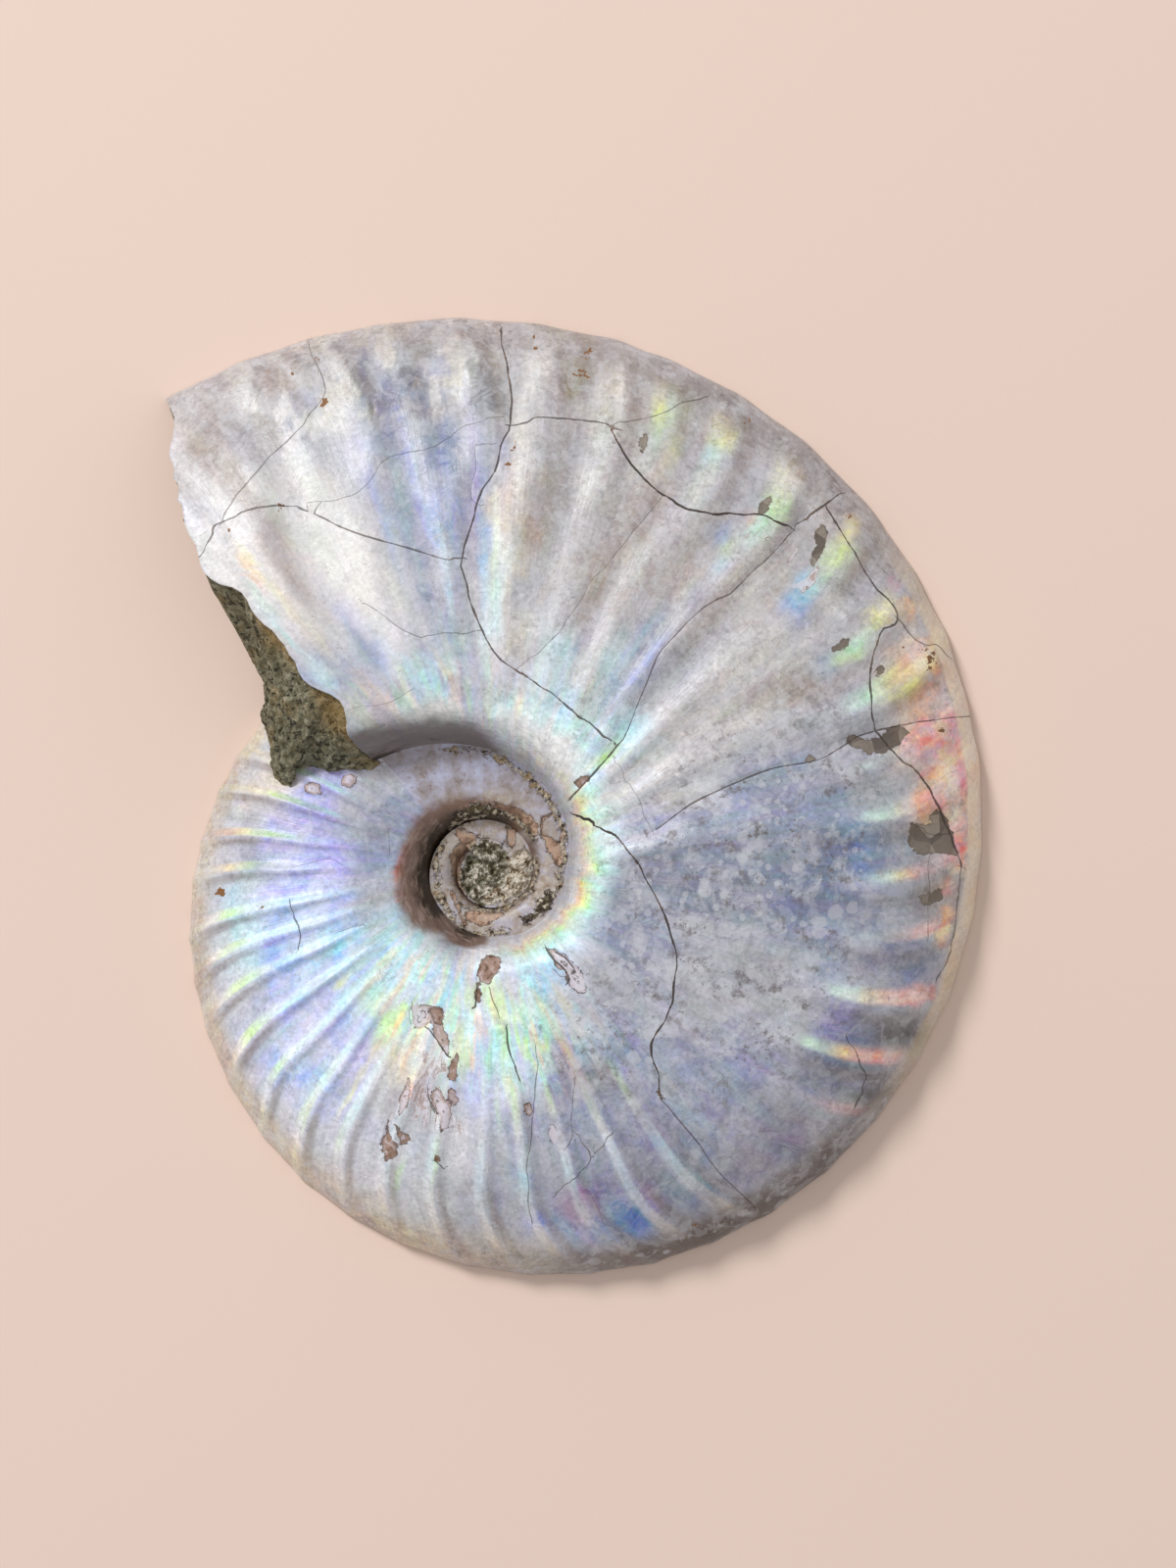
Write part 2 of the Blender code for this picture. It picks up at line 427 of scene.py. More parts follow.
# Cracks that branch off or cross the ones above
branches = [
    (.045, .8, [(17.2, 1), (19.6, .77), (18.4, .62), (19, .435), (17.2, .29), (12.4, .19)]),
    (.035, .7, [(24.4, .99), (28, .93), (31.5, .91)]),
    (.055, .9, [(46.5, .97), (47.7, .86), (47.9, .83)]),
    (.034, .75, [(47.9, .83), (48.3, .64), (50, .54), (50.9, .395), (47.7, .29), (43.5, .21)]),
    (.055, .9, [(43.5, .21), (41, .07), (39.3, .013)]),
    (.045, .8, [(74.6, .8), (81.7, .78), (87.1, .75)]),
    (.045, .8, [(94.3, .43), (98.4, .43), (108, .49), (112.8, .54), (117.6, .62), (122.3, .66),
        (127.7, .67), (131.3, .64), (133.4, .62)]),
    (.025, .5, [(65, .7), (67.4, .54), (70.4, .415), (73.4, .29), (81.7, .19)]),
    (.025, .5, [(91.3, .26), (99.6, .25), (108, .26), (114.6, .355)]),
    (.02, .45, [(89.2, .7), (91.4, .69), (91.6, .645), (92.6, .6), (92.3, .565), (91, .558)]),
    (.02, .45, [(88, .77), (92, .745), (97, .7), (104, .67), (110, .61), (118.5, .63)]),
    (.03, .6, [(-78.2, .757), (-74.3, .71), (-70, .655), (-67, .632), (-64.6, .6)]),
    (.03, .7, [(-70, .655), (-70.3, .63), (-70.8, .6)]),
    (.025, .5, [(-74, .617), (-72.2, .585), (-70.8, .52), (-69, .468), (-66.8, .42)]),
    (.03, .7, [(-88.6, .133), (-87.4, .174), (-85.6, .202), (-85, .231)]),
    (.05, .8, [(-50.6, .075), (-48.7, .103), (-49, .134), (-48.7, .16)]),
    (.03, .7, [(-56, .113), (-55.9, .137), (-53.6, .152)]),
    (.025, .5, [(-9, .9), (-2, .875), (1.6, .87)]),
    (.02, .5, [(4.2, .94), (4.3, .88), (5.6, .83)]),
]

crackParts = ("Side", "Near", "Width", "Tone")
groove = {
    "depth": 0.08 * mm,
    "width": 0.16,                # in mm
    "wander": 0.0034,
    "steps": 14,                  # from one listed place to the next
}


def curvedThrough(knots, steps):  # smooth curve through every knot but the first and last
    first = np.minimum(steps.astype(int), len(knots) - 4)
    t = (steps - first)[:, None]
    a, b, c, d = (knots[first + k] for k in range(4))
    return b + 0.5 * t * (c - a + t * (2 * a - 5 * b + 4 * c - d + t * (3 * (b - c) + d - a)))


def crackPaths(lines):
    paths = []
    for number, (width, tone, places) in enumerate(lines):
        places = np.array(places) * (math.pi / 180, 1)
        knots = np.concatenate([[2 * places[0] - places[1]], places, [2 * places[-1] - places[-2]]])
        last = len(places) - 1
        steps = np.linspace(0, last, groove["steps"] * last + 1)
        angle, share = curvedThrough(knots, steps).T
        wander = groove["wander"] * layeredNoise(steps * 2.3, steps * 0 + number, 21, 4)
        paths.append((width, tone, shellPoint(angle + 1.5 * wander, share + wander)[:, :2]))
    return paths


def segmentDistance(spots, a, b):
    # Distance from each spot to the line from a to b, and the side it lies on
    run = b - a
    t = np.clip(((spots - a) @ run) / (run @ run), 0, 1)
    off = spots - a - t[:, None] * run
    return np.hypot(off[:, 0], off[:, 1]), run[0] * off[:, 1] - run[1] * off[:, 0]


def closeTo(flat, path, margin):  # numbers of the points close to a path
    return np.flatnonzero(np.all((flat > path.min(0) - margin) & (flat < path.max(0) + margin), 1))


def crackMarks(points, lines):
    # Signed and plain distance to the nearest crack in mm, with that crack's width and tone
    flat = points.reshape(-1, 3)[:, :2]
    side, nearest, width, tone = np.array([[1.0], [1.0], [0.0], [0.0]]) * np.ones(len(flat))
    for wide, dark, path in crackPaths(lines):
        index = closeTo(flat, path, 2 * mm)
        spots = flat[index]
        for a, b in zip(path[:-1], path[1:]):
            distance, across = segmentDistance(spots, a, b)
            better = distance < nearest[index]
            chosen = index[better]
            nearest[chosen] = distance[better]
            side[chosen] = np.where(across < 0, -1, 1)[better] * distance[better]
            width[chosen], tone[chosen] = wide, dark
    return side / mm, nearest / mm, width, tone


# Outlines on the shell: depth in mm, then places (angle, share). A flake has lost a layer of
# nacre and shows a pale floor, a brown one shows brown mineral, a dull one is worn grey-brown.
outlines = {
    "flake": [
        (.15, [(-118.4, .294), (-117.7, .315), (-115.7, .345), (-113.2, .351), (-110.8, .329),
            (-110.8, .302), (-107.5, .306), (-105.7, .291), (-105.7, .265), (-108.3, .253),
            (-112.2, .264), (-115.7, .28)]),
        (.12, [(-52.6, .058), (-48.7, .079), (-47.6, .119), (-47.3, .157), (-48.9, .198),
            (-51.8, .214), (-54.5, .198), (-54.2, .166), (-52.4, .14), (-54.2, .106)]),
        (.1, [(-110.1, .326), (-104.9, .353), (-101.5, .383), (-101.3, .363), (-103.6, .321),
            (-105.6, .304)]),
        (.07, [(-110.6, .5), (-109.2, .505), (-108.5, .545), (-108.7, .6), (-109.6, .625),
            (-110.5, .57)]),
        (.08, [(-103.7, .5), (-102.6, .488), (-101.2, .492), (-100.8, .515), (-98.9, .52),
            (-98.2, .552), (-98.6, .6), (-99.9, .615), (-100.5, .575), (-101.8, .555),
            (-102.9, .545)]),
        (.05, [(-99.6, .468), (-98, .478), (-96.8, .505), (-97.6, .52), (-99.2, .5)]),
        (.05, [(-77, .56), (-75.4, .54), (-74.6, .575), (-75.6, .61), (-76.7, .6)]),
        (.05, [(-81, .49), (-79.6, .48), (-78.9, .5), (-79.8, .515), (-80.9, .51)]),
        (-.22, [(-206.5, .61), (-204.5, .59), (-202.8, .61), (-202.6, .65), (-204.2, .67),
            (-206.2, .655)]),
        (-.22, [(-215, .51), (-213, .49), (-210.5, .5), (-210, .525), (-211.5, .545), (-213, .56),
            (-214, .535)]),
    ],
    "brown": [
        (.16, [(-98.9, .354), (-99.6, .372), (-100.4, .397), (-100.8, .424), (-100.1, .449),
            (-98.4, .452), (-98.6, .415), (-98.3, .377)]),
        (.1, [(-89.4, .045), (-93, .072), (-94.8, .105), (-93.5, .127), (-88.5, .13), (-86.9, .109),
            (-82.9, .086), (-80.4, .06), (-81.8, .045)]),
        (.2, [(-111.3, .657), (-110.5, .69), (-109.3, .697), (-108.1, .71), (-107.4, .735),
            (-107.6, .752), (-109, .779), (-110.2, .752), (-111.4, .722), (-110.7, .705)]),
        (.08, [(-109.9, .658), (-108.2, .663), (-105.9, .672), (-106.4, .695), (-107.1, .704),
            (-108.4, .685)]),
        (.1, [(-100.4, .683), (-99.8, .683), (-99.1, .704), (-99.3, .714), (-100, .703)]),
        (.06, [(-111.9, .27), (-108.1, .257), (-106.5, .268), (-106.3, .294), (-108.9, .299),
            (-111.6, .292)]),
        (.1, [(41.8, .045), (40.4, .06), (40.9, .09), (42.3, .085), (44.5, .07), (44, .05)]),
        (.06, [(-95, .15), (-93.8, .14), (-92.4, .165), (-93.4, .19), (-94.6, .18)]),
    ],
    "dull": [
        (.1, [(7, .815), (4.7, .821), (3.4, .813), (1.6, .845), (1.9, .88), (1.5, .941),
            (4.5, .926), (6.4, .908), (7.8, .888), (6.7, .866), (5.7, .869), (6.1, .824)]),
        (.08, [(-3.6, .853), (-4.7, .868), (-4.8, .884), (-4, .918), (-2.3, .907), (-3.2, .891)]),
        (.08, [(20.2, .694), (18.8, .686), (18.1, .714), (16.2, .744), (16.2, .766), (16.5, .813),
            (17.7, .842), (19.1, .824), (19.4, .794), (18.5, .784), (18.6, .759), (18.7, .729),
            (19.6, .72)]),
        (.06, [(46, .9), (44.6, .885), (43.2, .85), (42.4, .8), (43.2, .805), (44.3, .84),
            (45.5, .86)]),
        (.05, [(52.8, .85), (52, .84), (51.8, .8), (52.6, .795), (53, .82)]),
        (.05, [(33, .785), (32, .79), (31.5, .765), (31.9, .735), (32.7, .735), (32.5, .76)]),
        (.04, [(27.3, .83), (26.9, .838), (26.1, .83), (25.7, .815), (26.3, .8), (27.1, .81)]),
        (.05, [(69.9, .815), (69.2, .8), (69.3, .765), (70, .77), (70.4, .79)]),
        (.06, [(-52.2, .585), (-52.9, .57), (-53, .545), (-52.4, .535), (-52, .56)]),
        (.05, [(18.9, .61), (18, .605), (17.9, .59), (18.8, .58), (19.4, .595)]),
    ],
}

# Rust: angle, share, radius in mm, strength (weak ones break up into crumbs)
rustDots = [
    (-174.7, .877, .55, 1), (109.2, .838, .42, 1), (108.5, .944, .34, .7), (111.4, .935, .26, .7),
    (119.7, .634, .4, .6), (127.5, .635, .34, .6), (88, .625, .42, .45), (87, .66, .45, .42),
    (86.2, .7, .4, .42), (84.4, .745, .42, .45), (84.6, .94, .4, .6), (85, .97, .3, .6),
    (79.3, .9, 1.1, .4), (79, .955, .8, .42), (118.6, .645, .3, .5), (16.8, .919, .24, 1),
    (13.8, .914, .13, 1), (-170, .7, .2, .6), (-164, .56, .2, .8), (25.4, .945, .95, .52),
    (26.6, .94, .6, .5), (24.2, .93, .5, .42), (122.3, .65, .3, .45), (-86, .52, .3, .4),
    (28, .9, .5, .3), (44, .95, .5, .35), (60, .955, .7, .3), (-103, .93, .5, .3),
    (-60, .93, .7, .3),
]


def onShell(shapes):
    return [(depth, placeOnShell(places)) for depth, places in shapes]


def outlineDistance(points, loops):
    # Below zero inside the loops, in mm, with the nearest loop's value
    flat = points.reshape(-1, 3)[:, :2]
    reach = 3.0
    distance, found = np.full(len(flat), reach), np.zeros(len(flat))
    for value, loop in loops:
        index = closeTo(flat, loop, reach * mm)
        spots = flat[index]
        nearest, inside = np.full(len(spots), reach * mm), np.zeros(len(spots), bool)
        for a, b in zip(loop, np.roll(loop, -1, 0)):
            nearest = np.minimum(nearest, segmentDistance(spots, a, b)[0])
            straddles = (a[1] > spots[:, 1]) != (b[1] > spots[:, 1])
            crossing = a[0] + (spots[:, 1] - a[1]) / (b[1] - a[1] + 1e-12) * (b[0] - a[0])
            inside ^= straddles & (spots[:, 0] < crossing)
        signed = np.where(inside, -nearest, nearest) / mm
        better = signed < distance[index]
        distance[index[better]], found[index[better]] = signed[better], value
    return distance.reshape(points.shape[:-1]), found.reshape(points.shape[:-1])


def lineDistance(points, lines):  # distance in mm from the edge of thick lines
    flat = points.reshape(-1, 3)[:, :2]
    distance = np.full(len(flat), 3.0)
    for width, path in lines:
        for a, b in zip(path[:-1], path[1:]):
            distance = np.minimum(distance, segmentDistance(flat, a, b)[0] / mm - width)
    return distance.reshape(points.shape[:-1])


def rustMark(points):
    rust = np.zeros(points.shape[:-1])
    for middle, height, radius, strength in rustDots:
        away = points[..., :2] - placeOnShell([(middle, height)])[0]
        distance = np.hypot(away[..., 0], away[..., 1])
        rust = np.maximum(rust, strength * (1 - distance / (radius * mm)))
    return rust


tints = {
    "pearl": (224, 220, 219), "cream": (212, 198, 180), "grey": (186, 187, 197),
    "taupe": (182, 173, 170), "slate": (146, 152, 178), "dusk": (124, 120, 142),
    "umber": (112, 98, 88), "steel": (132, 144, 174), "lavender": (192, 194, 246),
    "violet": (168, 156, 212), "blue": (174, 196, 255), "azure": (122, 158, 218),
    "sky": (174, 218, 252), "ice": (202, 234, 244), "sea": (182, 240, 218), "lime": (206, 242, 172),
    "lemon": (242, 238, 168), "peach": (248, 208, 172), "rose": (244, 172, 160),
    "magenta": (178, 130, 174), "coral": (240, 132, 110), "clay": (150, 139, 133),
    "chalk": (248, 246, 242), "blush": (240, 190, 180), "ash": (96, 95, 96),
    "mint": (206, 232, 218), "straw": (240, 230, 190), "shale": (136, 142, 168),
    "olive": (134, 118, 84), "rosy": (250, 184, 176), "lilac": (206, 162, 192),
}

# Soft patches by tint: angle, share, half sizes, tone
tintPatches = {
    "slate": [
        (-205, .22, 20, .09, .96), (-183, .26, 12, .08, 1.06), (-80, .62, 6, .12, 1),
        (-66, .62, 7, .12, .98), (-56, .7, 8, .12, .95), (-56, .4, 8, .1, .96),
        (-46, .6, 8, .14, .98), (-38, .68, 5, .08, .98), (-30, .2, 9, .08, .98),
        (-14, .2, 9, .08, .92), (0, .3, 9, .12, .92), (14, .45, 7, .12, 1.02),
        (92, .66, 3, .1, 1.3), (99, .72, 5, .1, 1.3), (116, .3, 3, .06, 1.35),
        (129.5, .24, 5, .05, 1.05), (100, .18, 8, .05, 1.12), (15, .2, 6, .07, 1.1),
    ],
    "grey": [
        (-165, .26, 10, .08, .96), (-205, .42, 14, .08, .94), (-192, .8, 8, .04, .92),
        (-181, .79, 5, .04, .96), (-148, .77, 8, .07, 1.05), (-104, .62, 8, .1, 1.02),
        (-92, .6, 7, .12, 1.02), (-108, .82, 8, .08, 1), (-91, .82, 7, .08, .9),
        (-55, .24, 8, .06, .98), (-44, .2, 8, .07, .9), (-30, .45, 8, .12, .96),
        (-18, .48, 7, .12, .94), (3, .74, 6, .06, .86), (13, .7, 5, .1, .88), (24, .55, 6, .2, .94),
        (36, .8, 6, .08, .96), (54, .38, 5, .1, .92), (56, .82, 7, .07, .95), (97, .5, 4, .16, .98),
        (93, .86, 6, .06, .98), (103, .38, 5, .12, 1.06), (105, .62, 5, .1, .98),
        (104, .86, 6, .07, 1), (115, .84, 7, .07, 1.06), (120, .16, 8, .04, 1),
    ],
    "ice": [
        (-150, .24, 10, .09, .92), (-137, .22, 8, .09, 1), (-165, .78, 9, .06, .98),
        (-125, .22, 8, .08, 1.05), (-107, .2, 7, .06, 1.06), (-91, .26, 5, .05, 1.06),
        (-82, .36, 6, .06, 1.02), (70, .22, 7, .06, 1), (88, .36, 2, .12, .98),
        (60, .12, 9, .05, 1.04), (45, .22, 6, .05, .98),
    ],
    "lavender": [
        (-183, .42, 10, .1, 1.02), (-200, .6, 12, .13, .95), (-184, .6, 10, .12, 1.03),
        (-136, .56, 8, .13, 1.05), (-126, .56, 6, .07, 1.04), (-92, .46, 6, .07, 1.02),
    ],
    "blue": [
        (-168, .42, 9, .1, 1), (-166, .6, 10, .12, 1.03), (-150, .58, 8, .12, 1),
        (-135, .74, 8, .08, .96), (-78, .84, 3.2, .05, .8),
    ],
    "sky": [
        (-152, .42, 8, .09, 1.04), (-137, .44, 7, .08, 1.04), (-62, .13, 8, .06, 1.05),
    ],
    "cream": [
        (-205, .8, 7, .08, 1), (-113, .44, 2.4, .05, 1.1), (86, .48, 2, .12, 1.05),
    ],
    "lemon": [
        (-141, .45, 2.2, .035, 1.05),
    ],
    "lime": [
        (-131, .36, 4, .05, 1.02), (-122, .4, 3, .06, 1.05), (-120, .33, 5, .05, 1.02),
        (-96, .35, 3.5, .05, 1.06), (-84, .17, 4, .05, 1.08), (-76, .3, 3, .06, 1.02),
    ],
    "pearl": [
        (-118, .52, 3, .08, 1), (-105, .35, 6, .07, .98), (-98, .12, 6, .06, .96),
        (-78, .12, 5, .04, 1.02), (40, .45, 6, .16, .93), (62, .3, 6, .08, .98),
        (74, .62, 6, .2, .9), (83, .24, 7, .08, .98), (112, .45, 5, .18, .98),
        (118, .62, 6, .14, 1), (127, .5, 6, .22, 1.03), (124, .88, 4, .08, .97),
        (24, .26, 6, .09, .94), (33, .2, 6, .07, .95),
    ],
    "sea": [
        (-70, .2, 6, .06, 1.04),
    ],
    "azure": [
        (-71, .87, 3.5, .05, .86), (-66, .87, 3, .05, .85),
    ],
    "magenta": [
        (-74.5, .8, 2.6, .05, .92), (-63.5, .82, 2.2, .05, .92),
    ],
    "violet": [
        (-71, .77, 2.5, .05, .86), (-24, .77, 3, .04, .95),
    ],
    "steel": [
        (-60, .86, 4, .06, .9), (-27, .82, 6, .06, .82), (-13, .83, 3, .05, .9),
        (-4, .6, 8, .18, .92), (5, .66, 6, .12, .98),
    ],
    "dusk": [
        (-66, .42, 8, .06, 1.04), (-44, .82, 7, .07, 1.08),
    ],
    "taupe": [
        (-2, .92, 5, .05, .92), (31, .62, 5, .22, 1.02), (42, .86, 5, .06, .98),
        (46, .7, 5, .12, 1.02), (52, .6, 6, .14, 1), (66, .6, 8, .18, 1.02), (68, .86, 8, .07, .96),
        (80, .86, 7, .07, .98),
    ],
    "rose": [
        (12, .92, 5, .05, .96),
    ],
    "peach": [
        (9, .88, 3, .04, .98), (16, .87, 3, .06, .98), (24, .88, 4, .06, .9),
    ],
}

# Broad lighter and darker areas, partly the shell's own tone and partly painted light and shade:
# angle, share, half sizes, factor
shadePatches = [
    (-118, .82, 20, .18, 1.34), (-136, .66, 14, .14, 1.1), (-92, .5, 18, .2, 1.2),
    (-150, .9, 16, .07, 1.14), (-40, .7, 16, .24, 1.16), (-14, .7, 12, .32, 1.14),
    (16, .93, 16, .06, 1.3), (-42, .13, 16, .05, 1.28), (-8, .125, 10, .03, .82),
    (14, .13, 10, .05, 1.16), (58, .06, 14, .06, 1.5), (82, .06, 14, .06, 1.5),
    (107, .07, 20, .07, 1.8), (98, .76, 22, .18, .84), (119, .74, 12, .24, .9),
    (78, .58, 10, .16, .86), (108, .2, 20, .09, 1.14), (-78, .8, 16, .16, 1.12),
    (4, .72, 12, .1, 1.06), (-75, .93, 26, .06, 1.06), (-180, .97, 60, .05, .82),
    (-45, .985, 34, .05, .6), (60, .97, 40, .05, .78), (-152, .125, 26, .03, .66),
    (-192, .66, 12, .12, .86), (-166, .56, 8, .1, 1.12), (-122, .07, 12, .045, .66),
    (-90, .06, 8, .05, 1.35), (-196, .45, 10, .25, .9), (-197, .09, 12, .04, .8),
    (-180, .7, 7, .08, .87), (-165, .17, 9, .09, .86), (-150, .25, 8, .07, .93),
    (-151, .55, 7, .09, 1.12), (-118, .05, 12, .03, .82), (-105, .09, 7, .04, .88),
    (-105, .4, 6, .07, 1.12), (-90, .09, 7, .05, 1.14), (-76, .75, 7, .09, .9),
    (-60, .4, 6, .09, .89), (-60, .965, 10, .03, .84), (-45, .25, 7, .06, .88),
    (-30, .12, 6, .03, 1.08), (-14, .12, 7, .03, .88), (1, .25, 7, .06, .94),
    (14, .08, 8, .04, 1.15), (15, .55, 6, .1, .92), (40, .055, 26, .03, 1.15),
    (120, .06, 8, .03, 1.14), (45, .9, 6, .04, 1.08), (60, .965, 8, .02, .92),
    (79, .965, 6, .02, 1.1), (11, .915, 5, .05, 1.1), (91, .12, 8, .03, .85),
    (105, .12, 8, .03, .9), (103, .78, 8, .08, .92), (121, .8, 6, .12, .95),
    (-14, .4, 26, .22, .88), (-21.4, .94, 2.1, .045, .42), (-29.6, .955, 1.6, .03, .55),
    (-23.2, .85, 2, .05, .7), (11, .86, 2.6, .03, .72), (-5, .35, 6, .09, .78),
    (-27, .885, 1.6, .03, .75), (-105, .25, 30, .12, 1.07), (20, .06, 50, .05, 1.12),
    (-185, .3, 30, .12, .93), (-196, .965, 9, .03, .82), (-181, .76, 8, .07, .85),
    (-163, .965, 7, .03, .85), (-111, .35, 10, .13, 1.08), (91, .09, 7, .05, .72),
    (91, .7, 4, .06, .84), (105, .86, 7, .1, .88), (73, .95, 8, .03, .9), (59, .06, 7, .03, 1.1),
    (-36, .25, 11, .06, .82), (-76, .24, 6, .04, 1.12), (-66, .74, 12, .07, .9),
    (-38, .7, 9, .05, .9), (1, .68, 6, .16, .92), (15, .4, 6, .06, 1.12), (-157, .24, 10, .05, .88),
    (-166, .7, 6, .06, 1.12), (-48, .965, 24, .03, .72),
]

# Broad stains laid over the tints, with chalk painted highlights along rib crests and ash painted
# shade in grooves: angle, share, half sizes, tint, strength
stainsAndPaintedLight = [
    (80.2, .56, 3.9, .24, "clay", .55), (79, .91, 1.8, .06, "umber", .5),
    (79.1, .9, 1.3, .05, "olive", .55), (81, .975, 3, .014, "olive", .5),
    (73.9, .9, 1.4, .08, "chalk", .7), (84.6, .74, 1.3, .17, "chalk", .7),
    (83.6, .92, 1.2, .04, "chalk", .4), (91.6, .92, 1.1, .05, "chalk", .35),
    (68, .45, 3, .13, "clay", .75), (66, .64, 3, .09, "clay", .45),
    (94.4, .64, 3, .15, "shale", .95), (102.4, .44, 2.9, .17, "shale", .78),
    (99, .74, 4.2, .08, "shale", .75), (96, .48, 5.5, .1, "shale", .35),
    (99, .6, 5, .1, "shale", .3), (97, .26, 4.5, .07, "shale", .62),
    (98.3, .5, 1.2, .12, "blue", .5), (123, .58, 2, .24, "clay", .66),
    (123.3, .81, 2.5, .13, "clay", .95), (118, .26, 2.4, .06, "shale", .88),
    (86, .62, 1.6, .1, "pearl", .4), (90, .35, 1.4, .07, "chalk", .35),
    (85, .15, 2.5, .03, "shale", .4), (100, .12, 4.5, .04, "clay", .65),
    (115, .12, 4.5, .04, "clay", .6), (53.9, .94, 1.4, .02, "clay", .8),
    (53.6, .84, .9, .03, "clay", .5), (61.4, .925, 1.8, .02, "clay", .5),
    (37.2, .79, 1.6, .03, "chalk", .7), (47.3, .66, 1.6, .06, "pearl", .5),
    (52.5, .53, 1.6, .07, "shale", .5), (42.3, .4, 2, .07, "grey", .5),
    (115, .45, 4.5, .18, "chalk", .75), (130, .25, 2, .05, "ice", .6),
    (55, .4, 3, .09, "shale", .85), (53, .28, 3.4, .1, "slate", 1), (60, .3, 2.2, .08, "ice", .6),
    (66, .3, 2.4, .07, "shale", .6), (80, .24, 5, .04, "clay", .4), (31, .55, 2.7, .2, "clay", .66),
    (36.5, .62, 2.2, .16, "chalk", .35), (26, .42, 2.6, .12, "pearl", .5),
    (44.5, .45, 2.6, .1, "shale", .4), (41, .72, 1.6, .05, "azure", .45),
    (-6, .35, 8, .08, "shale", .8), (88.5, .6, 1.3, .22, "chalk", .45),
    (87, .42, 1.8, .09, "chalk", .65), (126, .36, 1.6, .09, "cream", .4),
    (104, .87, 1.8, .05, "ash", .3), (97, .94, 2.2, .03, "ash", .55),
    (92, .86, 1.6, .05, "chalk", .45), (106.4, .91, 1.2, .04, "chalk", .6),
    (-22.6, .925, 1.9, .045, "ash", .97), (-31.5, .93, 1.6, .035, "ash", .6),
    (-24, .84, 1.8, .045, "steel", .75), (-14, .77, 2.2, .05, "dusk", .65),
    (-3, .86, 2.5, .04, "ash", .35), (-58, .93, 8, .04, "ash", .3),
    (-60, .97, 9, .025, "umber", .55), (-43, .97, 6, .025, "umber", .35),
    (-20, .6, 3.5, .08, "dusk", .3), (10, .72, 3.5, .05, "ash", .34),
    (-112, .6, 2.4, .08, "clay", .35), (-102, .5, 1.8, .08, "clay", .35),
    (-96, .66, 2, .1, "chalk", .3), (-107, .74, 2.2, .06, "chalk", .35),
    (-88, .72, 1.6, .12, "shale", .45), (-99, .8, 1.6, .06, "shale", .35),
    (-109.2, .53, 1.1, .045, "blush", .65), (-101, .42, 1.6, .04, "clay", .4),
    (-141, .88, 3, .03, "clay", .3), (-123, .66, 1.8, .07, "clay", .3),
    (-187, .8, 2.4, .04, "clay", .3),
]

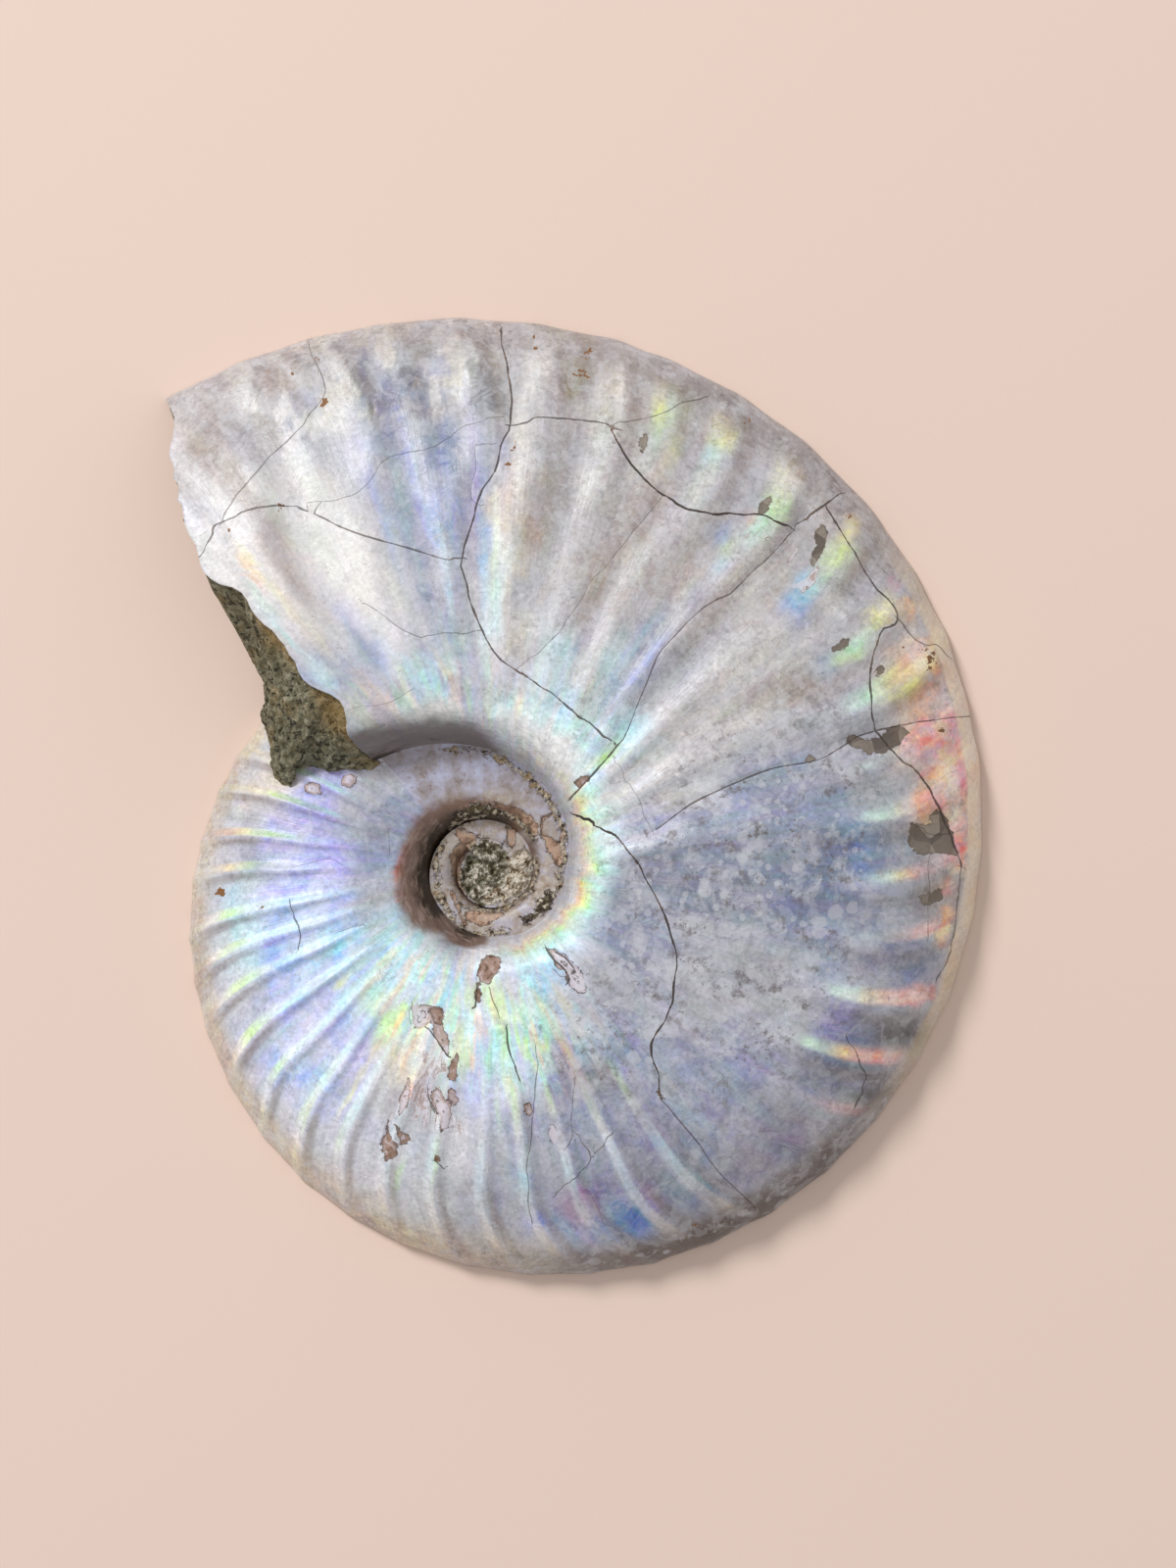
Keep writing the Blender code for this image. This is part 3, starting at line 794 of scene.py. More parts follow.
# Narrow streaks of strong colour: angle, share, half sizes, tint, strength
streaks = [
    (128.4, .535, .6, .05, "peach", .7), (128.9, .5, .4, .03, "rose", .4),
    (127.7, .53, .5, .07, "straw", .8), (129.6, .47, .6, .06, "mint", .6),
    (127.2, .44, .7, .08, "straw", .4), (130.6, .38, .7, .08, "ice", .6),
    (86.5, .55, .8, .1, "peach", .15), (88.5, .44, .8, .14, "lime", .22),
    (90.5, .4, 1, .12, "sky", .4), (91.6, .62, .8, .1, "violet", .35),
    (95.5, .55, 1, .16, "blue", .4), (100.5, .66, 1.1, .14, "blue", .4),
    (97.8, .4, .8, .12, "ice", .5), (106.5, .56, 1, .14, "blue", .3),
    (102.8, .5, .8, .14, "sea", .15), (52.5, .36, 1, .1, "blue", .45),
    (56.5, .3, 1, .12, "sky", .4), (-113.2, .44, .8, .05, "peach", .8),
    (-119.5, .4, .8, .05, "peach", .6), (-60, .11, 2.5, .025, "blue", .5),
    (-38, .64, 2, .05, "violet", .25), (-177, .136, 8, .017, "coral", 1),
    (-190, .132, 8, .014, "coral", .5), (-163, .13, 6, .012, "coral", .45),
    (42.5, .14, 1.6, .05, "lime", .8), (44.5, .11, 1.5, .04, "lemon", .8),
    (40.5, .055, .9, .02, "peach", .9), (-8.4, .935, 1.3, .02, "rose", .9),
    (-.2, .945, .9, .02, "straw", .9), (-7.9, .93, .7, .015, "peach", .8),
    (2.2, .955, 1.2, .012, "peach", .8), (8.4, .935, 1.1, .016, "peach", .8),
    (16.2, .84, 1.2, .02, "lemon", .6), (-7.2, .945, .5, .01, "lemon", .7),
    (24.5, .93, 1.4, .03, "peach", .7), (22.7, .85, 1, .05, "lemon", .6),
    (31, .93, 1.6, .02, "peach", .6), (30, .8, 1, .04, "lime", .5),
    (41.6, .87, 1.9, .05, "lime", .55), (51.6, .905, 1.7, .035, "straw", .6),
    (51.2, .93, 1, .02, "peach", .5), (50.8, .84, 1.5, .045, "lime", .5),
    (51, .775, 1.3, .04, "mint", .6), (52.9, .775, .7, .02, "rose", .5),
    (52.8, .69, 1.6, .035, "lime", .4), (52.2, .65, 1.6, .03, "sky", .5),
    (55, .7, 1.3, .03, "azure", .35), (60.7, .885, 1.5, .035, "lemon", .45),
    (61.2, .84, 1.4, .03, "sky", .4), (60.5, .78, 1, .05, "peach", .25),
    (68, .9, 1.6, .05, "lime", .3), (66, .8, 1.2, .05, "lemon", .25),
    (43.2, .935, 1.3, .03, "lemon", .7), (44.2, .957, .9, .014, "rose", .5),
    (41.6, .775, 1.8, .03, "sky", .6), (40.6, .73, 1.9, .035, "azure", .7),
    (38.6, .7, 1.6, .03, "azure", .4), (32.6, .87, 1.6, .03, "lemon", .7),
    (31.9, .905, 1.4, .02, "straw", .6), (31.2, .8, 1.2, .04, "sea", .4),
    (30.8, .75, 1.1, .03, "lime", .6), (25.6, .85, 1.7, .03, "straw", .6),
    (26.2, .925, 1.8, .03, "peach", .7), (24.2, .8, 1.6, .03, "lime", .35),
    (4, .7, 4, .04, "azure", .4), (-1.5, .72, 3, .04, "azure", .35), (31, .7, 2, .03, "azure", .35),
    (-121, .62, .7, .14, "lemon", .5), (-121.5, .46, .9, .06, "peach", .5),
    (-106, .8, .8, .06, "lime", .4), (-141.5, .455, 1.5, .025, "lemon", .8),
    (-100, .72, .7, .1, "lime", .35), (-87, .48, .8, .08, "lime", .4),
]

# Colour of the lit side of the ribs, from the venter down: span of angles, side, strength, then
# share and tint
ribLights = [
    (-212, -172, 1, .85, [(.96, "cream"), (.88, "cream"), (.83, "straw"), (.77, "lime"),
        (.66, "mint"), (.5, "ice")]),
    (-172, -118, 1, .85, [(.97, "cream"), (.9, "pearl"), (.83, "lime"), (.75, "mint"), (.62, "ice"),
        (.45, "ice")]),
    (-118, -50, 1, .55, [(.97, "cream"), (.85, "pearl"), (.7, "ice"), (.58, "pearl"),
        (.45, "lime")]),
    (-34, 24, -1, 1.1, [(.965, "rosy"), (.93, "rosy"), (.88, "rosy"), (.85, "blush"),
        (.825, "peach"), (.8, "straw"), (.77, "mint"), (.73, "mint"), (.68, "grey")]),
    (24, 74, -1, .55, [(.96, "cream"), (.9, "lemon"), (.84, "lime"), (.78, "sea"), (.7, "grey"),
        (.4, "pearl")]),
    (74, 137, -1, .3, [(.96, "cream"), (.88, "pearl"), (.6, "pearl"), (.3, "pearl")]),
]

# Small glowing spots at the ends of the ribs: angle, share, half sizes, tint, strength
glints = [
    (8.8, .925, 1.7, .018, "peach", .9), (8.2, .932, .8, .01, "coral", .5),
    (17.2, .922, 1.3, .018, "peach", 1), (.3, .945, 1, .016, "rosy", .8),
    (6.6, .935, .8, .014, "peach", .8), (14.8, .925, .9, .012, "coral", .5),
    (12.3, .945, .9, .012, "coral", .5), (4.4, .945, .9, .01, "coral", .5),
    (-5.6, .937, 1, .014, "peach", .9), (-6.6, .943, .6, .01, "coral", .7),
    (-2.4, .93, 1.1, .02, "rosy", .6), (-15.5, .957, .9, .012, "coral", .5),
    (-16.4, .925, 1.3, .022, "rosy", .7), (-24.7, .957, 1, .014, "coral", .5),
    (-25.6, .93, 1, .02, "rosy", .5), (24.3, .944, 1.2, .014, "peach", .7),
    (26.5, .93, .9, .014, "coral", .35), (31.8, .947, 1.1, .014, "peach", .9),
    (34.8, .94, .9, .012, "lilac", .6), (43.2, .942, 1.3, .018, "straw", .8),
]


def tint(name):
    return np.array(colour(*tints[name])[:3])


def tintRun(run, value):  # tints along a run of (value, tint), blended in between
    steps = [step for step, name in run]
    channels = np.transpose([tint(name) for step, name in run])
    return np.stack([np.interp(value, steps, channel) for channel in channels], -1)


def ribSlope(angle, share):  # 1 where a rib rises most steeply with the angle
    step = 0.25
    ahead, behind = (ribRelief(angle + math.radians(way), share) for way in (step, -step))
    return (ahead - behind) / (2 * step) * ribs["width"] / (0.86 * ribs["height"])


def tintField(degrees, share):
    warp = 3.0 * layeredNoise(degrees / 6, share * 9, 41, 4)
    shareWarp = 0.035 * layeredNoise(degrees / 6 + 50, share * 9, 47, 4)
    total = np.full(degrees.shape, 0.12)
    field = total[..., None] * tint("grey")
    for name, patches in tintPatches.items():
        for middle, height, wide, tall, tone in patches:
            weight = area(degrees + warp, share + shareWarp, middle, height, wide, tall, 2) ** 1.2
            total += weight
            field += (weight * tone ** 2.2)[..., None] * tint(name)
    return field / total[..., None]


def paint(field, amount, shade):
    return field + np.clip(amount, 0, 1)[..., None] * (shade - field)


def paintPatches(field, degrees, share, patches, hardness):
    for middle, height, wide, tall, name, strength in patches:
        away = ((degrees - middle) / wide) ** 2 + ((share - height) / tall) ** 2
        field = paint(field, strength * np.exp(-away ** hardness), tint(name))
    return field


def paintSpots(field, degrees, share, patches):  # patches with ragged, fairly sharp edges
    along = 0.4 * layeredNoise(degrees / 3, share * 12, 57, 3)
    along = along + 0.35 * layeredNoise(degrees / 0.9, share * 34, 58, 3)
    across = 0.008 * layeredNoise(degrees / 0.9 + 30, share * 34, 62, 3)
    return paintPatches(field, degrees + along, share + across, patches, 1.5)


def scatter(field, degrees, share, shown, spots, size, seed, layers, low, high, apart=9):
    # Each tint lies in noise of its own, where that rises from low to high
    for number, (name, strength) in enumerate(spots):
        x, y = degrees / size[0] + apart * number, share * size[1]
        level = layeredNoise(x, y, seed + number, layers)
        field = paint(field, strength * shown * smooth(low, high, level), tint(name))
    return field


def pinkPanel(field, degrees, share):
    # A panel beside the long crack at the right, rosy with orange and lilac spots
    below = follow([(-1, .96), (0, .952), (6.5, .9), (13.6, .83), (17.8, .8), (19.5, .8)], degrees)
    shown = smooth(0, 0.010, share - below) * (1 - smooth(0.950, 0.968, share))
    shown = shown * window(degrees, -1.2, 0, 18, 19.5)
    field = paint(field, 0.88 * shown, tint("rosy"))
    spots = (("lilac", .7), ("peach", .6), ("coral", .4), ("taupe", .5))
    return scatter(field, degrees, share, shown, spots, (2, 24), 190, 4, 0.15, 0.60)


def rainbowWall(field, degrees, share):
    # Hues run from pale grey through orange to green and sky as the wall turns up
    hues = [(-.01, "grey"), (.01, "pearl"), (.022, "peach"), (.032, "lemon"), (.045, "lime"),
            (.062, "sea"), (.095, "ice"), (.13, "sky")]
    wobble = 0.012 * layeredNoise(degrees / 7, share * 0, 53, 3)
    start = 0.016 * np.exp(-((degrees - 46) / 8) ** 2) - 0.006 * smooth(-15, -55, degrees)
    shown = window(degrees, -92, -60, 52, 76) * (1 - smooth(0.07, 0.15, share))
    patchy = 0.70 + 0.30 * latticeNoise(degrees / 5, share * 8, 55)
    return paint(field, shown * patchy, tintRun(hues, share + wobble - start))


def ribGlow(field, angle, share):  # tints on the lit side of the ribs, shade on the other
    degrees = np.degrees(angle)
    slope = ribSlope(angle, share)
    lively = np.clip(0.85 + 0.35 * layeredNoise(degrees / 3, share * 9, 59, 3), 0.2, 1.1)
    for first, last, side, strength, run in ribLights:
        lowest = run[-1][0]
        shown = window(degrees, first - 4, first + 4, last - 4, last + 4)
        shown = shown * window(share, lowest - 0.12, lowest + 0.05, 0.93, 0.99)
        lit = shown * smooth(0.15, 0.75, side * slope) * min(strength, 1) * lively * lively
        field = paint(field, lit, tintRun(run[::-1], share) * max(strength, 1))
        shaded = smooth(0.2, 0.9, -side * slope) * shown
        field = field * (1 - 0.06 * shaded)[..., None]
        field = paint(field, 0.45 * shaded * smooth(0.68, 0.86, share), tint("umber") * 1.3)
    return field


def colourMarks(angle, share):
    degrees = np.degrees(angle)
    field = rainbowWall(tintField(degrees, share), degrees, share)
    drift = layeredNoise(degrees / 5, share * 8, 63, 4)
    # Stains, with painted highlights on crests and painted shade in grooves
    field = paintPatches(field, degrees + 0.9 * drift, share - 0.02 * drift, stainsAndPaintedLight, 1.7)
    cloudy = window(degrees, 86, 90, 116, 120) * smooth(0.72, 0.80, share)
    spots = (("shale", .8), ("chalk", .7), ("ash", .6), ("cream", .4))
    field = scatter(field, degrees, share, cloudy, spots, (2.6, 13), 170, 5, 0.20, 0.42)
    field = paintSpots(field, degrees, share, streaks)
    sparkle = 0.05 + 0.50 * area(degrees, share, -100, 0.27, 40, 0.17)
    ring = np.exp(-((degrees - 78) / 60) ** 4 - ((share - 0.12) / 0.10) ** 2)
    spots = [(name, 1) for name in ("lime", "pearl", "lavender", "sky", "peach", "sea")]
    field = scatter(field, degrees, share, sparkle + 0.22 * ring, spots, (3, 11), 160, 3,
                    0.20, 0.60, apart=7)
    field = ribGlow(field, angle, share)
    # The rim is dirtier at the left; below and at the top it is darkened with painted shade as well
    # as dirt, and at the right it is pale, brightened further with painted light
    rim, early = smooth(0.90, 0.97, share), 1 - smooth(-100, -70, degrees)
    worn = 0.4 * smooth(0.84, 0.92, share) * np.exp(-((degrees + 100) / 26) ** 4)
    field = paint(field, rim * early * 0.8, tint("cream") * 1.02)
    field = paint(field, worn, tint("cream") * 0.85)
    low = smooth(0.90, 0.96, share) * window(degrees, -95, -70, -42, -28)
    field = paint(field, low * 0.75, (tint("umber") + tint("clay")) * 0.5)
    field = pinkPanel(field, degrees, share)
    field = paintSpots(field, degrees, share, glints)
    rimBand = smooth(0.957, 0.969, share + 0.004 * drift) * window(degrees, -40, -20, 24, 50)
    field = paint(field, rimBand * 0.95, tint("cream") * 1.30)
    late = smooth(0.88, 0.97, share) * smooth(24, 50, degrees)
    field = paint(field, late * 0.6, tint("taupe") * 0.80)
    # Broad tone together with painted light and shade
    for middle, height, wide, tall, factor in shadePatches:
        field = field * (factor ** area(degrees, share, middle, height, wide, tall, 2))[..., None]
    calm = np.maximum(rimBand, 0.6 * area(degrees, share, 117, 0.42, 16, 0.36))
    mottle = np.maximum(area(degrees, share, -8, 0.42, 34, 0.30),
                        0.9 * area(degrees, share, -52, 0.36, 18, 0.14, 2))
    patina = 0.45 + 0.5 * rim + 0.25 * smooth(-100, -60, degrees) - 0.2 * smooth(60, 100, degrees)
    return {"tint": np.clip(field, 0, 0.91), "mottle": mottle, "patina": patina, "calm": calm}


nacreLook = {
    "crack": (60, 52, 50),
    "rusty": (112, 84, 64),
    # Wall colours: dirt together with painted shade; the grey and the darkest brown are painted
    # shadow as well as dirt
    "wallDirt": (106, 78, 62),
    "wallPale": (140, 116, 104),
    "wallGrey": (120, 113, 114),
    "deepDirt": (38, 28, 18),
    "pale": (210, 212, 220),
    "dark": (112, 106, 110),
    "speck": (92, 82, 78),
    "dull": (122, 112, 101),
    "dullDark": (90, 82, 73),
    "dullPale": (158, 148, 136),
    "rust": (128, 88, 52),
    "brown": (146, 117, 99),
    "brownPale": (178, 154, 146),
    "flakeFloor": (220, 212, 222),
    "chipFloor": (228, 222, 232),
    "rim": (88, 66, 52),
    "roughness": 0.36,
    "worn": 0.3,                  # roughness added where the nacre is gone
    "relief": 0.05 * mm,          # of the fine streaks; the others go by it
}


def makeNacre():
    material, shader = newMaterial("pearly nacre", nacreLook, nacreLook["roughness"])
    growth, share, calm, patina, mottle, wallShadeAndDirt, rust = (
        mark(name) for name in ("growth", "share", "calm", "patina", "mottle", "wallShadeAndDirt", "rust"))

    def growthNoise(across, along, *settings):  # drawn out along the growth lines
        return noise(1.0, *settings, where=joined(growth * across, share * along))

    def edgeOf(value, level, width, strength):  # a line where the value is at a level
        return fadeOut(abs(value - level), 0.0, width, strength)

    streak = growthNoise(22, 3.5, 5, 0.6)
    hairStreak = growthNoise(95, 5, 3, 0.55)
    cloud = noise(300, 6, 0.66, 0.6)
    stain = noise(520, 6, 0.68, 0.8)
    grain = noise(1250, 5, 0.66, 1.2)
    crumbs = noise(2600, 3, 0.6)
    blotch = noise(230, 3, 0.55, 1.0)
    # Hue wanders along the growth lines
    lively = 1.0 - calm * 0.55
    hue = (centred(streak, 0.24) + centred(hairStreak, 0.08)) * lively + 0.5
    saturation = fade(cloud, 0.35, 0.65, 1.35, 0.75)
    turned = {0: hue, 1: saturation, 2: 1.0, 3: 1.0, 4: mark("tint", "Color")}
    base = shaderNode("HueSaturation", turned, 0)
    # Lightness: streaks, grain and soft clouds
    level = 1.10
    light = level + (centred(streak, 0.52) + centred(hairStreak, 0.36))
    mottled = fade(mottle, 0.0, 1.0, 0.15, 0.80)
    for texture, amount in ((grain, 0.66), (crumbs, 0.75), (stain, 0.60), (blotch, mottled)):
        light = light * (1.0 + centred(texture, amount))
    light = level + (light - level) * lively
    base = blend(1.0, base, joined(light, light, light), "MULTIPLY")
    # Worn layers: paler inside crisp, wandering edges
    layers = noise(360, 5, 0.60, 1.6)
    base = blend(fade(layers, 0.530, 0.545) * (lively * 0.24), base, "pale")
    base = blend(edgeOf(layers, 0.532, 0.012, 0.40) * fade(stain, 0.48, 0.56), base, "dark")
    scratch = edgeOf(growthNoise(30, 12, 4, 0.6, 0.8), 0.5, 0.012, 0.34)
    base = blend(scratch * fade(cloud, 0.50, 0.58), base, "dark")
    worn = calc("ADD", patina * 0.55, mottle, clamp=True) * (1.0 - calm * 0.8)
    frost = blend(0.45, blend(1.0, base, (1.25, 1.25, 1.25, 1.0), "MULTIPLY"), "pale")
    base = blend(fade(cloud, 0.50, 0.60, 0.0, 0.75) * worn, base, frost)
    # Round pale drops of many sizes, crowded where the nacre is mottled
    for scale, fewest, strength in ((650, 0.60, 0.50), (1400, 0.55, 0.45)):
        away, pick = cells(scale)
        size = fade(pick, fewest, 1.0, 0.0, 0.46)
        drop = fadeOut(away + centred(stain, 0.85) - size, -0.05, 0.05, strength)
        drop = drop * fade(pick, fewest, fewest + 0.04)
        base = blend(drop * (worn + 0.06), base, "pale")
    # Dark smudges and specks lie in bands along the growth lines
    clumps = fade(growthNoise(9, 3.5, 3, 0.6), 0.44, 0.58, 1.0, 0.12)
    smudge = noise(820, 6, 0.72)
    speck = noise(2300, 2, 0.5)
    base = blend(fadeOut(smudge, 0.38, 0.50, 0.66) * clumps * worn, base, "dark")
    base = blend(fadeOut(smudge, 0.34, 0.41, 0.34) * clumps * worn, base, "speck")
    base = blend(fadeOut(speck, 0.28, 0.38, 0.55) * (worn + 0.10) * clumps, base, "speck")
    # Small chips where the last layer is lifting
    chips = growthNoise(16, 6, 6, 0.66, 0.8) + (mark("chips") - 1.0) * 0.5
    base = blend(fade(chips, 0.508, 0.52, 0.0, 0.65), base, "chipFloor")
    base = blend(edgeOf(chips, 0.510, 0.020, 0.90) * fade(stain, 0.44, 0.52), base, "brown")
    under = fade(chips, 0.535, 0.555) * fade(stain, 0.47, 0.53, 0.0, 0.85)
    base = blend(under, base, "brownPale")
    # Dirt and painted shade on the umbilical wall; the grey towards the mouth and the darkest brown
    # at the seam are painted shadow as well as dirt
    wallShadeAndDirt = wallShadeAndDirt + centred(stain, 0.22) * fade(wallShadeAndDirt, 0.0, 0.1)
    crust = growthNoise(5, 60, 5, 0.66, 0.6) + centred(stain, 0.35)
    wallDirtAndShadeColour = blend(fade(crust, 0.48, 0.62), "wallDirt", "wallPale")
    wallDirtAndShadeColour = blend(fadeOut(crust, 0.36, 0.45, 0.7), wallDirtAndShadeColour, "rim")
    wallDirtAndShadeColour = blend(fade(growth, 0.9, 1.5, 0.0, 0.75), wallDirtAndShadeColour, "wallGrey")
    base = blend(fade(wallShadeAndDirt, 0.05, 0.34, 0.0, 0.92), base, wallDirtAndShadeColour)
    base = blend(fade(wallShadeAndDirt + centred(crust, -0.8), 0.52, 0.80, 0.0, 0.96), base, "deepDirt")
    # Lost flakes, brown and dull patches, and rust; distances are in mm
    ragged = centred(grain, 0.7) + centred(stain, 0.8)
    flake, brown, dull = (mark(kind) + ragged for kind in outlines)
    floor = blend(fade(stain, 0.36, 0.47), "brownPale", "flakeFloor")
    base = blend(fadeOut(flake, -0.06, 0.0, 0.85), base, floor)
    border = fadeOut(abs(flake + 0.08), 0.04, 0.16, 0.8) * fade(cloud, 0.56, 0.44)
    base = blend(border, base, "brownPale")
    rings = fade(abs(calc("SINE", flake * 6.5)), 0.26, 0.10) * fadeOut(flake, 0.03, 0.08, 0.9)
    rings = rings * fade(stain, 0.48, 0.56, 1.0, 0.1)
    base = blend(rings, base, "rim")
    base = blend(fadeOut(brown, 0.02, 0.09, 0.85), base, "rim")
    mineral = colourRamp(
        grain, (0.34, "rim"), (0.45, "brown"), (0.58, "brownPale"), (0.68, "flakeFloor"))
    base = blend(fadeOut(brown, -0.08, 0.0), base, mineral)
    away, pick = cells(620)       # dull patches are broken into small plates
    greyed = colourRamp(
        pick * 0.6 + grain * 0.4, (0.20, "dullDark"), (0.50, "dull"), (0.80, "dullPale"))
    base = blend(fadeOut(dull, -0.04, 0.03, 0.94), base, greyed)
    # A painted shadow along the inside edge of the dull patches
    dullEdgeShadow = fade(dull, -0.16, 0.0) * fadeOut(dull, 0.0, 0.05)
    base = blend(dullEdgeShadow * 0.6, base, "dullDark")
    rusty = fade(rust + centred(crumbs, fade(rust, 0.0, 0.08, 0.0, 1.6)), 0.26, 0.36)
    base = blend(rusty, base, "rust")
    # Cracks
    wobble = fade(stain, 0.35, 0.65, 0.3, 1.7)
    lines = []
    for kind in ("crack", "branch"):
        side, close, width, tone = (mark(kind + part) for part in crackParts)
        dark = fadeOut(abs(side) - width * wobble, -0.015, 0.03) * fadeOut(close, 0.35, 0.6)
        lines.append(dark * tone)
    crack = calc("MAXIMUM", *lines)
    base = blend(crack, base, blend(fade(cloud, 0.53, 0.60, 0.0, 0.8), "crack", "rusty"))
    gone = calc("MAXIMUM", *(fadeOut(bare, -0.04, 0.03) for bare in (dull, brown)))
    plug(shader.inputs["Roughness"], nacreLook["roughness"] + gone * nacreLook["worn"])
    depth = nacreLook["relief"]
    coat(shader, base, (hairStreak, depth, 0.6), (cloud, 2 * depth, 0.5), (grain, 1.2 * depth, 0.6),
         (crack, -1.6 * depth, 0.8), (rings, -1.6 * depth, 0.8))
    return material


whorl = {
    "columns": 1240,
    "rows": 72,
    "shellThickness": 0.45 * mm,
    "wallRows": 0.22,             # share of the rows that stand on the umbilical wall
    "wallTop": 0.10,
    "waviness": 0.05 * mm,
    "waveLength": 3 * mm,
    "sunkFoot": 0.15 * mm,        # the wall's foot sinks into the whorl below
}

# The broken edge of the shell at the mouth: share, angle
mouthEdge = [
    (-.02, 136.6), (.05, 136.6), (.075, 136.2), (.095, 134.8), (.11, 132.9), (.14, 131.2),
    (.172, 130.9), (.185, 132.3), (.215, 133.3), (.25, 134.2), (.28, 133.4), (.34, 132.4),
    (.385, 132.1), (.42, 132.6), (.45, 132.3), (.47, 131.8), (.51, 131.7), (.535, 132.8),
    (.555, 133.2), (.58, 133.9), (.6, 133.6), (.617, 133.3), (.678, 131.8), (.716, 131),
    (.777, 129.7), (.823, 128.8), (.873, 127.6), (.919, 126.1), (.947, 124.8), (.981, 124.6),
    (1, 124.4),
]


def mouthAngle(share):
    jag = 0.35 * layeredNoise(share * 40, share * 0 + 2, 61, 3) * (1 - smooth(0.9, 1, share))
    return np.radians(follow(mouthEdge, share) + jag)


def rowShares(rows):
    # Rows crowd on the umbilical wall and at the venter
    t = np.linspace(0, 1, rows)
    foot, top, wallRows = coil["wallFoot"], whorl["wallTop"], whorl["wallRows"]
    wall = foot + (top - foot) * (t / wallRows) ** 1.1
    outer = np.maximum(t - wallRows, 0) / (1 - wallRows)
    return np.where(t < wallRows, wall, top + (1 - top) * np.sin(outer * np.pi / 2) ** 1.15)


def wallShadeAndDirtMark(angle, share):
    # Painted shade and dirt on the umbilical wall: thick where the wall leans back, thin round the
    # lit side
    degrees = np.degrees(angle)
    early = window(degrees, -345, -275, -152, -100)
    early = early * (1 + 0.25 * np.exp(-((degrees + 185) / 35) ** 2))
    late = smooth(66, 104, degrees)
    upper = np.exp(-((degrees + 230) / 26) ** 2)
    low = np.exp(-((degrees + 108) / 16) ** 2)
    inner = 0.55 * (1 - smooth(-345, -290, degrees))
    mouth = smooth(110, 134, degrees)
    reach = 0.030 + 0.122 * early + 0.058 * upper + 0.016 * low + 0.052 * late + 0.02 * mouth
    reach = reach + 0.05 * (inner > 0)
    depth = 1 - np.maximum(share, 0) / reach + 0.06 * layeredNoise(degrees / 5, share * 60, 121)
    lit = 0.50 * late + 0.2 * smooth(118, 134, degrees)
    # A thin painted shade lies at the wall's foot all round
    strength = np.maximum.reduce([np.minimum(early, 1), lit, 0.95 * low, inner, 0.15 + 0 * early])
    return np.clip(depth, 0, 1) * strength


def chipZone(degrees, share):  # 1 where small flakes have lifted
    low = area(degrees, share, -102, 0.50, 13, 0.20)
    right = area(degrees, share, -70, 0.45, 12, 0.12, 2)
    upper = area(degrees, share, 46, 0.78, 9, 0.07)
    return np.clip(low + 0.86 * right + 0.9 * upper, 0, 1)


def coilMarks(angle, share):
    # The wall mark is dirt together with painted shade
    return {"growth": angle - np.radians(ribLean(angle, share)), "share": share,
            "wallShadeAndDirt": wallShadeAndDirtMark(angle, share)}


def surfaceMarks(angle, share, points):
    marks = colourMarks(angle, share) | coilMarks(angle, share)
    marks["chips"] = chipZone(np.degrees(angle), share)
    marks["rust"] = rustMark(points)
    for kind, lines in (("crack", cracks), ("branch", branches)):
        for part, values in zip(crackParts, crackMarks(points, lines)):
            marks[kind + part] = values
    for kind, shapes in outlines.items():
        marks[kind] = outlineDistance(points, onShell(shapes))[0]
    return marks


def makeLastWhorl(material):
    share = rowShares(whorl["rows"])[None, :]
    t = np.linspace(0, 1, whorl["columns"])[:, None]
    start = math.radians(coil["mouthAngle"] - 360)
    angle = start + t * (mouthAngle(share) - start)
    share = share + 0 * angle
    rough = shellPoint(angle, share)
    nearest = np.minimum(*(crackMarks(rough, lines)[1] for lines in (cracks, branches)))
    lift = -groove["depth"] * np.exp(-(nearest.reshape(angle.shape) / groove["width"]) ** 2)
    for shapes in outlines.values():
        distance, depth = outlineDistance(rough, onShell(shapes))
        lift = lift - depth * mm * smooth(0.10, -0.12, distance)
    waves = rough[..., :2] / whorl["waveLength"]
    lift = lift + whorl["waviness"] * layeredNoise(waves[..., 0], waves[..., 1], 71)
    points = shellPoint(angle, share, lift)
    points[:, 0, 2] -= whorl["sunkFoot"]
    # Broken thickness of the shell at the mouth
    lip = points[-1:].copy()
    lip[..., 2] = np.maximum(lip[..., 2] - whorl["shellThickness"], 0)
    points = np.concatenate([points, lip])
    angle, share = (np.concatenate([grid, grid[-1:]]) for grid in (angle, share))
    marks = surfaceMarks(angle, share, points)
    return meshPiece("lastWhorl", points, gridFaces(*angle.shape), material, marks)


# The middle is filled with mineral, so its whorls stand higher and reach out further
innerWhorl = {
    "columns": 1500,
    "rows": 54,
    "turns": 2,
    "filling": 1.2 * mm,
    "filledTo": (-600, -440),
    "widening": 0.025,
    "underNext": 0.006,           # share that reaches under the next wall
    "sunkFoot": 0.2 * mm,
    "coreRings": 48,
    "coreSteps": 240,
    "coreHeight": 1.9 * mm,
}

